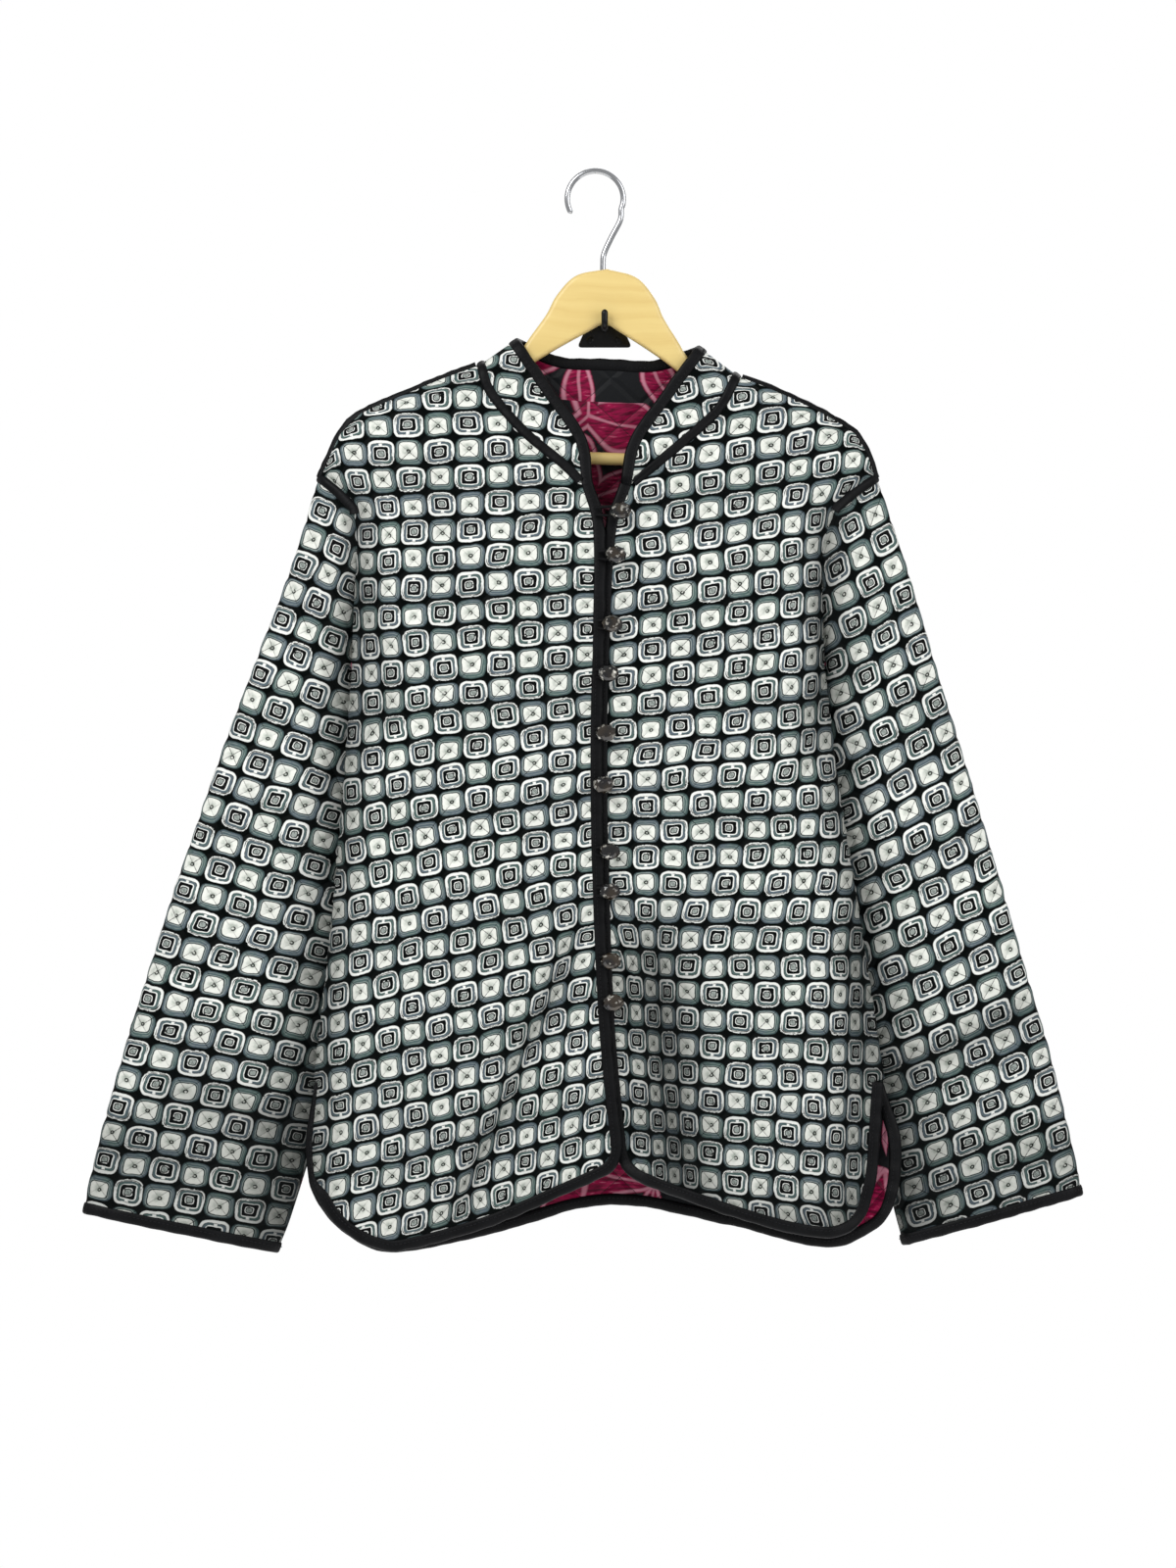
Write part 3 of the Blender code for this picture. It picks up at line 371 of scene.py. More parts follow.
def beside(line: tuple, x: Array, z: Array) -> tuple[Array, Array, Array]:
    """Where places lie beside a line of a table.

    Args:
        line: A row with the ends x0, z0 and x1, z1.
        x: Places across the front view.
        z: Places up the front view.

    Returns:
        The line's left-hand normal, the distance along it, and the share of the line's length.
    """
    run = np.array([line.x1 - line.x0, line.z1 - line.z0], float)
    length = np.linalg.norm(run)
    normal = np.array([-run[1], run[0]]) / length
    far = (x - line.x0) * normal[0] + (z - line.z0) * normal[1]
    part = ((x - line.x0) * run[0] + (z - line.z0) * run[1]) / length ** 2
    return normal, far, part


def quarter(t: Array) -> Array:
    """Quarter of a circle from 0 to 1."""
    return np.sqrt(1 - (1 - np.clip(t, 0, 1)) ** 2)


def apart(gap: Array) -> Array:
    """A width that is never nothing, with its sign kept."""
    return np.where(np.abs(gap) < 0.5, np.copysign(0.5, gap), gap)


def rounding(t: Array, power: Array | float) -> Array:
    """Full in the middle and rolling to 0 at t = 1."""
    return (1 - np.clip(np.abs(t), 0, 1) ** power) ** (1 / power)


def ripple(x: Array, z: Array, length: float, seed: int) -> Array:
    """Irregular waves over a surface.

    Args:
        x: First coordinate of each place.
        z: Second coordinate of each place.
        length: Usual distance between two crests.
        seed: Choice of the waves' directions and phases.

    Returns:
        A height between about -1 and 1 at each place.
    """
    chance = np.random.default_rng(seed)
    total = np.zeros_like(np.asarray(x, float))
    waves = 6
    for _ in range(waves):
        turn, phase = chance.uniform(0, math.pi), chance.uniform(0, math.tau)
        stretch = chance.uniform(0.7, 1.4)
        run = (x * math.cos(turn) + z * math.sin(turn)) * math.tau / (length * stretch)
        total += np.sin(run + phase)
    return total / math.sqrt(waves)


@dataclass(frozen=True)
class Drape:
    """How the cloth hangs: the depth of each panel over the front view, and the light that it loses.

    The shoulders roll over the hanger at ridge_y, the chest swells below them, and the sides turn
    back to the folds that the tables give. A fall is the level where something starts and how far
    below it that is full; a start is a share of the way to an edge; a dusk is a share of light.
    """

    ridge_y: float = -20.0
    shoulder_out: float = 12.0
    shoulder_roll: float = 14.0
    chest_out: float = 32.0
    chest_drop: float = 230.0
    front_round: float = 4.0
    back_round: float = 1.8
    back_flat: float = 5.0
    back_ease: float = 120.0
    lap_depth: float = 6.0
    lap_fade: float = 45.0
    sleeve_y: float = -20.0
    sleeve_round: float = 2.4
    front_swell: float = 0.5
    back_swell: float = 0.6
    back_wave: float = 2.2
    back_wave_length: float = 95.0
    back_wave_run: float = 0.25
    back_fall: Fall = (-230, 200)
    sleeve_wave: float = 1.6
    sleeve_wave_length: float = 80.0
    sleeve_wave_run: float = 0.5
    sleeve_fall: Fall = (-200, 120)
    ruche_length: float = 15.0
    ruche_height: float = 1.6
    ruche_start: float = 0.8
    ruche_fall: Fall = (-165, 40)
    ruche_sway: float = 5.0
    ruche_wander: float = 31.0
    ruche_slant: float = 9.0
    tuck_rise: float = 0.35
    tuck_end: float = 1.25
    tuck_fade: float = 0.2
    tuck_clear: float = 16.0
    tuck_core: float = 0.4
    tuck_hollow: float = 0.12
    tuck_spread: float = 0.38
    tuck_dusk: float = 0.08
    least_light: float = 0.25
    low_dusk: float = 0.2
    low_fall: Fall = (-430, 290)
    front_start: float = 0.85
    front_dusk: float = 0.58
    front_fall: Fall = (-95, 40)
    hem_dusk: float = 0.5
    hem_fall: Fall = (-668, 45)
    hem_from: float = 30.0
    hem_reach: float = 40.0
    back_start: float = 0.9
    back_dusk: float = 0.4
    back_dusk_fall: Fall = (-135, 40)
    inside_start: float = 0.55
    inside_dusk: float = 0.68
    inside_fall: Fall = (-105, 40)
    cuff_dusk: float = 0.3
    cuff_fall: Fall = (-590, 70)
    crease_dusk: float = 0.1
    crease_from: float = -0.25
    crease_end: float = 1.5
    crease_fade: float = 0.5

    def ridge_height(self, x: Array) -> Array:
        """Height of the shoulder line, carried on across the neck."""
        line = [(row.right_x, row.right_z) for row in RIDGE] + [(row.left_x, row.left_z) for row in RIDGE]
        line = sorted(line + [BACK_NECK_EDGE[0], BACK_NECK_EDGE[-1]] + NECK_RISE)
        return np.interp(x, [point[0] for point in line], [point[1] for point in line])

    def flank(self, x: Array, z: Array) -> Array:
        """Share of the way from the middle to the body's side fold."""
        right, left = (at_level(FLANKS, z, side.key) for side in (Side.RIGHT, Side.LEFT))
        return np.where(x < 0, x / right, x / left)

    def ruche(self, x: Array, z: Array) -> Array:
        """Small gathers beside the body's side folds."""
        near = nearing(self.flank(x, z), self.ruche_start) * falling(z, *self.ruche_fall)
        level = z + self.ruche_sway * np.sin(z / self.ruche_wander)
        wave = np.sin(math.tau * level / self.ruche_length + x / self.ruche_slant)
        return self.ruche_height * near * (0.5 + 0.5 * wave)

    def tucked(self, side: Side, x: Array, z: Array) -> tuple[Array, ...]:
        """Folds that run down a front.

        Args:
            side: The front's side.
            x: Places across the front view.
            z: Places up the front view.

        Returns:
            How far each place is pushed back, the cloth taken up across and along, and the light lost.
        """
        back, across, along, dark = (np.zeros_like(np.asarray(x, float)) for _ in range(4))
        for tuck in (tuck for tuck in TUCKS if tuck.side is side):
            normal, far, part = beside(tuck, x, z)
            outward = math.copysign(1, normal[0])
            fade = ease(part / self.tuck_rise) * ease((self.tuck_end - part) / self.tuck_fade)
            taken = tuck.takes * fade * (ease(far / tuck.wide + 0.5) - 0.5)
            across += taken * normal[0] + tuck.turned * fade * np.maximum(far, 0)
            along += taken * normal[1]
            bend = far / (self.tuck_core * tuck.wide)
            push = tuck.deep * fade * bend * np.exp(0.5 - 0.5 * bend ** 2) * outward
            clear = ease((np.abs(x) - self.tuck_clear) / self.tuck_clear)
            back += np.where(push < 0, push * clear, push)
            hollow = (far / tuck.wide * outward - self.tuck_hollow) / self.tuck_spread
            dark += self.tuck_dusk * tuck.deep * fade * np.exp(-0.5 * hollow ** 2)
        return back, across, along, dark

    def creased(self, side: Side, x: Array, z: Array) -> Array:
        """Depth of the creases across the front of a sleeve."""
        total = np.zeros_like(np.asarray(x, float))
        for crease in (crease for crease in CREASES if crease.side is side):
            _, far, part = beside(crease, x, z)
            fade = ease((part - self.crease_from) / self.crease_fade)
            fade = fade * ease((self.crease_end - part) / self.crease_fade)
            total += crease.deep * fade * np.exp(-(2 * far / crease.wide) ** 2)
        return total

    def front(self, x: Array, z: Array, side: Side = Side.RIGHT) -> Array:
        """Depth of the body's front, with the tucks of one side."""
        below = self.ridge_height(x) - z
        full = self.ridge_y - self.shoulder_out * quarter(below / self.shoulder_roll)
        full = full - self.chest_out * ease(below / self.chest_drop)
        edge = at_level(FLANKS, z, "front")
        swell = rounding(self.flank(x, z), self.front_round)
        hang = self.tucked(side, x, z)[0] * ease(swell / self.front_swell)
        return edge + (full - edge) * swell + hang - self.ruche(x, z)

    def lapped(self, x: Array, z: Array) -> Array:
        """Depth of the left front, which passes behind the right one at the middle."""
        edge = np.interp(-z, [-row.left_z for row in FRONT_EDGE], [row.left_x for row in FRONT_EDGE])
        return self.front(x, z, Side.LEFT) + self.lap_depth * (1 - ease((x - edge) / self.lap_fade))

    def back(self, x: Array, z: Array) -> Array:
        """Depth of the body's back."""
        full = self.ridge_y + self.shoulder_out * quarter((self.ridge_height(x) - z) / self.shoulder_roll)
        edge = at_level(FLANKS, z, "back")
        turn = ease((UNDERARM + self.back_ease - z) / self.back_ease)
        power = self.back_flat + (self.back_round - self.back_flat) * turn
        swell = rounding(self.flank(x, z), power)
        wave = self.back_wave * ripple(x, z * self.back_wave_run, self.back_wave_length, 5)
        hang = wave * falling(z, *self.back_fall) * ease(swell / self.back_swell)
        return edge + (full - edge) * swell - np.abs(hang) + self.ruche(x, z)

    def front_shade(self, side: Side) -> Depth:
        """Light on a front: less in its tucks, beside its folds and above the left hem."""
        def shade(x: Array, z: Array) -> Array:
            """Light at some places."""
            flank = nearing(self.flank(x, z), self.front_start) * falling(z, *self.front_fall)
            hem = falling(z, *self.hem_fall) * ease((x - self.hem_from) / self.hem_reach)
            tuck = np.clip(1 - self.tucked(side, x, z)[3], self.least_light, 1)
            return (1 - self.front_dusk * flank) * (1 - self.hem_dusk * hem) * tuck * self.dusk(z)

        return shade

    def dusk(self, z: Array) -> Array:
        """Light that falls off toward the hem and the cuffs."""
        return 1 - self.low_dusk * falling(z, *self.low_fall)

    def back_shade(self, x: Array, z: Array) -> Array:
        """Light on the back: less beside its folds."""
        side = nearing(self.flank(x, z), self.back_start) * falling(z, *self.back_dusk_fall)
        return (1 - self.back_dusk * side) * self.dusk(z)

    @staticmethod
    def sleeve_edges(side: Side, z: Array) -> tuple[Array, Array]:
        """Outer fold and inner edge of a sleeve at some levels."""
        rows = SLEEVES[side]
        inner = np.where(z > UNDERARM, at_level(FLANKS, z, side.key), at_level(rows, z, "inner"))
        return at_level(rows, z, "outer"), inner

    def sleeve_share(self, side: Side, x: Array, z: Array) -> Array:
        """Share of the way from a sleeve's outer fold to its inner edge."""
        outer, inner = self.sleeve_edges(side, z)
        return np.clip((x - outer) / apart(inner - outer), 0, 1)

    def sleeve_shade(self, side: Side) -> Depth:
        """Light on a sleeve: less where it hangs against the body, in its creases and near the cuff."""
        def shade(x: Array, z: Array) -> Array:
            """Light at some places."""
            near = nearing(self.sleeve_share(side, x, z), self.inside_start)
            inside = 1 - self.inside_dusk * near * falling(z, *self.inside_fall)
            cuff = 1 - self.cuff_dusk * falling(z, *self.cuff_fall)
            return inside * cuff * (1 - self.crease_dusk * self.creased(side, x, z)) * self.dusk(z)

        return shade

    def sleeve(self, side: Side, face: Face) -> Depth:
        """Depth of a sleeve's front or back, as a function of a place in the front view."""
        rows = SLEEVES[side]

        def depth(x: Array, z: Array) -> Array:
            """Depth at some places."""
            edge = np.where(z > UNDERARM, at_level(FLANKS, z, face.key), at_level(rows, z, "depth"))
            across = self.sleeve_share(side, x, z)
            middle = self.sleeve_y + (edge - self.sleeve_y) * across ** 2
            swell = rounding(2 * across - 1, self.sleeve_round)
            run = z * self.sleeve_wave_run
            wave = self.sleeve_wave * ripple(x, run, self.sleeve_wave_length, 9 + side.value)
            hang = wave * swell * falling(z, *self.sleeve_fall)
            fold = self.creased(side, x, z) * swell if face is Face.FRONT else 0.0
            return middle + face.value * (at_level(rows, z, face.key) * swell + hang) + fold

        return depth


@dataclass(frozen=True)
class Cloth:
    """Sizes of the quilted cloth and of the print's repeat."""

    wall: float = 3.0
    loft: float = 1.7
    repeat_wide: float = 23.8
    repeat_tall: float = 21.5
    diamond_wide: float = 2 * repeat_wide
    diamond_tall: float = 2 * repeat_tall
    grid: float = 4.3
    edge_step: float = 4.0
    roll_rows: tuple[float, ...] = (0.35, 1.1, 2.3)
    edge_clear: float = 2.9
    fold_wall: float = 0.22
    fold_reach: float = 3.4
    fade: float = 13.0
    crinkle: float = 0.22
    crinkle_length: float = 13.0
    crinkle_fade: float = 8.0
    row_share: float = 0.866

    def puff(self, u: Array, v: Array) -> Array:
        """Rise of the quilting, 0 on its stitch lines and 1 in the middle of a diamond."""
        a = np.abs(np.cos(math.pi * (u / self.diamond_wide + v / self.diamond_tall)))
        b = np.abs(np.sin(math.pi * (u / self.diamond_wide - v / self.diamond_tall)))
        return np.sqrt(a * b)


CLOTH = Cloth()
DRAPE = Drape()


def clearance(places: Array, loop: Array) -> Array:
    """Distance of places from a loop, negative outside it."""
    a, b = loop, np.roll(loop, -1, axis=0)
    span = b - a
    squared = np.maximum((span ** 2).sum(1), TINY)
    result = np.empty(len(places))
    batch = 2000
    for start in range(0, len(places), batch):
        p = places[start:start + batch, None, :]
        part = np.clip(((p - a) * span).sum(-1) / squared, 0, 1)
        near = np.linalg.norm(p - (a + part[..., None] * span), axis=-1).min(1)
        level = (a[:, 1] > p[..., 1]) != (b[:, 1] > p[..., 1])
        rise = np.where(span[:, 1] == 0, TINY, span[:, 1])
        cross = level & (p[..., 0] < a[:, 0] + span[:, 0] * (p[..., 1] - a[:, 1]) / rise)
        result[start:start + batch] = np.where(cross.sum(1) % 2 == 1, near, -near)
    return result


class Sheet:
    """A quilted panel on its draped form, before it gets its wall."""

    def __init__(self, name: str, stretch: float = 1.0) -> None:
        """Start an empty panel.

        Args:
            name: The panel's name.
            stretch: How much larger its print is than on the fronts.
        """
        self.name = name
        self.stretch = stretch
        self.points: list[Array] = []
        self.lofts: list[float] = []
        self.walls: list[float] = []
        self.shades: list[float] = []
        self.faces: list[tuple[int, int, int]] = []
        self.corners: list[Array] = []
        self.places: dict[tuple[int, ...], int] = {}

    @staticmethod
    def key(place: Array) -> tuple[int, ...]:
        """A point's place to a fiftieth of a millimetre."""
        return tuple(int(value) for value in np.round(np.asarray(place) * 50))

    def add_patch(self, outline: Array, depth: Depth, spread: Depth, shade: Depth, faces_front: bool,
                  rolled: Sequence[Array] = (), open_edges: Sequence[Array] = ()) -> None:
        """Fill an outline with points and lay it on a surface.

        Args:
            outline: Loop of the patch's edge, in space.
            depth: Depth of the surface over the front view.
            spread: Place on the flat cloth of places in the front view, in rows of two.
            shade: How much light reaches places in the front view, 1 in the open.
            faces_front: Whether the outside faces the front.
            rolled: Stretches of the outline beside which the surface turns quickly.
            open_edges: Stretches on which the quilting goes on into the next patch.
        """
        flat = outline[:, [0, 2]]
        count = len(flat)
        area = np.sum(flat[:, 0] * np.roll(flat[:, 1], -1) - np.roll(flat[:, 0], -1) * flat[:, 1])
        extra = [np.empty((0, 2))]
        for stretch in rolled:
            line = stretch[:, [0, 2]]
            for row in CLOTH.roll_rows:
                extra.append((line + math.copysign(row, area) * path_normals(line))[1:-1])
        extra = np.vstack(extra)
        if len(extra):
            extra = extra[clearance(extra, flat) > 0.8 * CLOTH.roll_rows[0]]
        low, high = flat.min(0), flat.max(0)
        rows = np.arange(low[1], high[1], CLOTH.grid * CLOTH.row_share)
        columns = np.arange(low[0], high[0], CLOTH.grid)
        inner = np.array([(x + (k % 2) * CLOTH.grid / 2, z) for k, z in enumerate(rows) for x in columns])
        inner = inner[clearance(inner, flat) > CLOTH.edge_clear]
        coords = np.vstack([flat, extra, inner])
        edges = [(k, (k + 1) % count) for k in range(count)]
        cut = delaunay_2d_cdt([Vector(p) for p in coords], edges, [], 1, 1e-5)
        place = np.array([tuple(v) for v in cut[0]])
        source = np.array([origin[0] if origin else count for origin in cut[3]])
        uv = spread(place[:, 0], place[:, 1])
        closed = flat
        if len(open_edges):
            hidden = {self.key(p) for stretch in open_edges for p in stretch}
            closed = flat[[self.key(p) not in hidden for p in outline]]
        away = np.min([np.linalg.norm(place - p, axis=1) for p in closed], axis=0)
        loft = CLOTH.loft * CLOTH.puff(uv[:, 0], uv[:, 1]) * ease(away / CLOTH.fade)
        crinkle = ripple(uv[:, 0], uv[:, 1], CLOTH.crinkle_length, 3) * ease(away / CLOTH.crinkle_fade)
        loft += CLOTH.crinkle * crinkle
        deep = depth(place[:, 0], place[:, 1])
        lit = shade(place[:, 0], place[:, 1])
        folds = np.vstack([stretch[:, [0, 2]] for stretch in rolled])
        fold = np.min([np.linalg.norm(place - p, axis=1) for p in folds], axis=0)
        thick = CLOTH.wall * (CLOTH.fold_wall + (1 - CLOTH.fold_wall) * ease(fold / CLOTH.fold_reach))
        indices = []
        for k, origin in enumerate(source):
            spot = outline[origin] if origin < count else np.array([place[k, 0], deep[k], place[k, 1]])
            indices.append(self.point(spot, (loft[k], thick[k], lit[k]), origin < count))
        for face in cut[2]:
            order = list(face) if faces_front else list(face)[::-1]
            self.faces.append(tuple(indices[k] for k in order))
            self.corners.append(uv[order])

    def point(self, place: Array, traits: tuple[float, float, float], shared: bool) -> int:
        """Index of a point; points on an edge are shared by the patches that meet there.

        Args:
            place: The point's place.
            traits: Its loft, the wall's thickness there and the light that reaches it.
            shared: Whether it lies on an edge.

        Returns:
            The index.
        """
        if shared:
            key = self.key(place)
            if key in self.places:
                return self.places[key]
            self.places[key] = len(self.points)
        self.points.append(np.asarray(place, float))
        for store, trait in zip((self.lofts, self.walls, self.shades), traits):
            store.append(float(trait))
        return len(self.points) - 1

    def finish(self) -> None:
        """Work out the normals, the edges and the direction from each edge into the panel."""
        self.spots = np.array(self.points)
        self.tris = np.array(self.faces)
        a, b, c = (self.spots[self.tris[:, k]] for k in range(3))
        cross = np.cross(b - a, c - a)
        self.area = 0.5 * np.linalg.norm(cross, axis=1).sum()
        self.normals = np.zeros_like(self.spots)
        for k in range(3):
            np.add.at(self.normals, self.tris[:, k], cross)
        self.normals /= np.maximum(np.linalg.norm(self.normals, axis=1), TINY)[:, None]
        uses: dict[frozenset[int], list[tuple[int, int, int]]] = {}
        for face in self.faces:
            for k in range(3):
                first, second, third = face[k], face[(k + 1) % 3], face[(k + 2) % 3]
                uses.setdefault(frozenset((first, second)), []).append((first, second, third))
        self.rim = [use[0] for use in uses.values() if len(use) == 1]
        self.inward = np.zeros_like(self.spots)
        for first, second, third in self.rim:
            run = unit(self.spots[second] - self.spots[first])
            reach = self.spots[third] - self.spots[first]
            into = reach - run * reach.dot(run)
            self.inward[[first, second]] += into / max(np.linalg.norm(into), TINY)
        length = np.linalg.norm(self.inward, axis=1)
        self.inward[length > 0] /= length[length > 0, None]
        self.mitres = self.normals.copy()

    def flat_size(self) -> tuple[float, float]:
        """Width and length of the cut cloth, in metres."""
        spread = np.vstack(self.corners)
        return tuple((spread.max(0) - spread.min(0)) * self.stretch * MM)

    def wall(self, outside: Material, inside: Material) -> bpy.types.Object:
        """Give the panel its wall.

        Args:
            outside: Finish of the outer face and the rim.
            inside: Finish of the lining.

        Returns:
            The panel's object.
        """
        count = len(self.spots)
        outer = self.spots + self.normals * np.array(self.lofts)[:, None]
        inner = self.spots - self.mitres * np.array(self.walls)[:, None]
        verts = np.vstack([outer, inner]) * MM
        faces = [tuple(face) for face in self.tris]
        faces += [tuple(k + count for k in face[::-1]) for face in self.tris]
        faces += [(second, first, first + count, second + count) for first, second, _ in self.rim]
        mesh = bpy.data.meshes.new(self.name)
        mesh.from_pydata(verts.tolist(), [], faces)
        layer = mesh.uv_layers.new(name=UV_NAME)
        repeat = np.array([CLOTH.repeat_wide, CLOTH.repeat_tall])
        spread = np.array(self.corners) / repeat
        reverse = spread[:, ::-1]
        rim = np.zeros((len(self.rim) * 4, 2))
        layer.uv.foreach_set("vector", np.concatenate([spread.ravel(), reverse.ravel(), rim.ravel()]))
        shade = mesh.attributes.new(SHADE_NAME, "FLOAT", "POINT")
        shade.data.foreach_set("value", np.array(self.shades + [1.0] * count))
        slots = np.zeros(len(faces), int)
        slots[len(self.tris):2 * len(self.tris)] = 1
        mesh.materials.append(outside)
        mesh.materials.append(inside)
        mesh.polygons.foreach_set("material_index", slots)
        mesh.shade_smooth()
        sharp = {frozenset(pair) for first, second, _ in self.rim
                 for pair in ((first, second), (first + count, second + count))}
        for edge in mesh.edges:
            if frozenset(edge.vertices) in sharp:
                edge.use_edge_sharp = True
        mesh.update()
        return add_object(self.name, mesh)


def share_seams(sheets: Sequence[Sheet]) -> None:
    """Mitre the walls of the panels that meet at a seam, from the sum of their normals."""
    meeting: dict[tuple[int, ...], list[tuple[Sheet, int]]] = {}
    for sheet in sheets:
        for key, k in sheet.places.items():
            if sheet.inward[k].any():
                meeting.setdefault(key, []).append((sheet, k))
    for uses in meeting.values():
        sleeves = [use for use in uses if use[0].name.startswith("sleeve")]
        body = [use for use in uses if not use[0].name.startswith("sleeve")]
        low = len(uses) > 2 and sum(sheet.normals[k][2] for sheet, k in uses) < 0
        for group in ([sleeves, body] if low else [uses]):
            if not group:
                continue
            total = sum(sheet.normals[k] for sheet, k in group)
            total = total / max(np.linalg.norm(total), TINY)
            for sheet, k in group:
                sheet.mitres[k] = total / max(total.dot(sheet.normals[k]), MITRE_FLOOR)


def add_object(name: str, mesh: bpy.types.Mesh) -> bpy.types.Object:
    """Link a mesh into the scene as an object at the origin, named apart from the solids."""
    piece = bpy.data.objects.new("dressed_" + name, mesh)
    bpy.context.scene.collection.objects.link(piece)
    return piece


def skin(bm: bmesh.types.BMesh, rings: Sequence[Array]) -> list[bmesh.types.BMFace]:
    """Add a solid through sections with the same number of corners, and give back its two ends."""
    loops = [[bm.verts.new(corner) for corner in ring] for ring in rings]
    for low, high in zip(loops, loops[1:]):
        for k in range(len(low)):
            bm.faces.new((low[k - 1], low[k], high[k], high[k - 1]))
    return [bm.faces.new(loops[0]), bm.faces.new(loops[-1][::-1])]


def add_bmesh(name: str, bm: bmesh.types.BMesh, finish: Material,
              crisp: float = 180) -> bpy.types.Object:
    """Turn a mesh in millimetres into an object.

    Args:
        name: The object's name.
        bm: The mesh, which is used up.
        finish: The object's material.
        crisp: Angle in degrees over which an edge is shaded sharp.

    Returns:
        The object.
    """
    bmesh.ops.recalc_face_normals(bm, faces=bm.faces)
    bmesh.ops.scale(bm, vec=(MM, MM, MM), verts=bm.verts)
    mesh = bpy.data.meshes.new(name)
    bm.to_mesh(mesh)
    bm.free()
    mesh.materials.append(finish)
    mesh.shade_smooth()
    mesh.set_sharp_from_angle(angle=math.radians(crisp))
    return add_object(name, mesh)


def add_strip(name: str, rings: Array, closed: bool, finish: Material) -> bpy.types.Object:
    """Skin a solid through sections.

    Args:
        name: The object's name.
        rings: Sections with the same number of corners, as an array of places.
        closed: Whether the last section joins the first.
        finish: The object's material.

    Returns:
        The strip's object, with a UV map of metres along and round it.
    """
    bm = bmesh.new()
    layer = bm.loops.layers.uv.new(UV_NAME)
    loops = [[bm.verts.new(corner) for corner in ring] for ring in rings]
    along = path_reach(rings[:, 0]) * MM
    around = path_reach(np.vstack([rings[0], rings[0][:1]])) * MM
    pairs = list(zip(range(len(loops) - 1), range(1, len(loops))))
    if closed:
        pairs.append((len(loops) - 1, 0))
    size = len(rings[0])
    for first, second in pairs:
        for k in range(size):
            after = (k + 1) % size
            low, high = loops[first], loops[second]
            face = bm.faces.new((low[k], low[after], high[after], high[k]))
            ends = (along[first], along[first], along[second], along[second])
            rounds = (around[k], around[k + 1], around[k + 1], around[k])
            for loop, u, v in zip(face.loops, ends, rounds):
                loop[layer].uv = (u, v)
    if not closed:
        bm.faces.new(loops[0])
        bm.faces.new(loops[-1])
    return add_bmesh(name, bm, finish, 60)


def tube_rings(path: Array, radius: Array | float, sides: int) -> Array:
    """Round sections along a path, turned as little as possible from one to the next."""
    radius = np.broadcast_to(radius, len(path))
    runs = unit(np.gradient(path, axis=0))
    side = np.cross(runs[0], (0, 1, 0) if abs(runs[0][1]) < 0.9 else (1, 0, 0))
    turns = np.linspace(0, math.tau, sides, endpoint=False)
    rings = []
    for place, run, size in zip(path, runs, radius):
        side = unit(side - run * side.dot(run))
        up = np.cross(run, side)
        rings.append(place + size * (np.outer(np.cos(turns), side) + np.outer(np.sin(turns), up)))
    return np.array(rings)


# Shader building

class Value:
    """A number in a shader that takes part in Python arithmetic."""

    def __init__(self, graph: "Graph", socket: bpy.types.NodeSocket) -> None:
        """Wrap a node's output."""
        self.graph = graph
        self.socket = socket

    def math(self, operation: str, *others: "Value | float") -> "Value":
        """Add a Math node on this value and others."""
        return self.graph.add("ShaderNodeMath", {"operation": operation}, [self, *others])

    def __add__(self, other: "Value | float") -> "Value":
        """Sum."""
        return self.math("ADD", other)

    __radd__ = __add__

    def __sub__(self, other: "Value | float") -> "Value":
        """Difference."""
        return self.math("SUBTRACT", other)

    def __rsub__(self, other: float) -> "Value":
        """Difference from a number."""
        return self.graph.add("ShaderNodeMath", {"operation": "SUBTRACT"}, [other, self])

    def __mul__(self, other: "Value | float") -> "Value":
        """Product."""
        return self.math("MULTIPLY", other)

    __rmul__ = __mul__

    def __truediv__(self, other: "Value | float") -> "Value":
        """Quotient."""
        return self.math("DIVIDE", other)

    def __abs__(self) -> "Value":
        """Distance from 0."""
        return self.math("ABSOLUTE")

    def __pow__(self, power: float) -> "Value":
        """Power."""
        return self.math("POWER", power)

    def __or__(self, other: "Value") -> "Value":
        """The larger of two masks."""
        return self.math("MAXIMUM", other)

    def below(self, edge: "Value | float", soft: float) -> "Value":
        """A mask that is 1 under an edge and falls to 0 over a soft width."""
        return ((edge - self) * (1 / soft) + 0.5).clamped()

    def above(self, edge: "Value | float", soft: float) -> "Value":
        """A mask that is 1 over an edge."""
        return ((self - edge) * (1 / soft) + 0.5).clamped()

    def between(self, low: float, high: float, soft: float) -> "Value":
        """A mask that is 1 between two edges."""
        return self.above(low, soft) * self.below(high, soft)

    def clamped(self) -> "Value":
        """Held between 0 and 1."""
        return self.graph.add("ShaderNodeClamp", {}, [self])


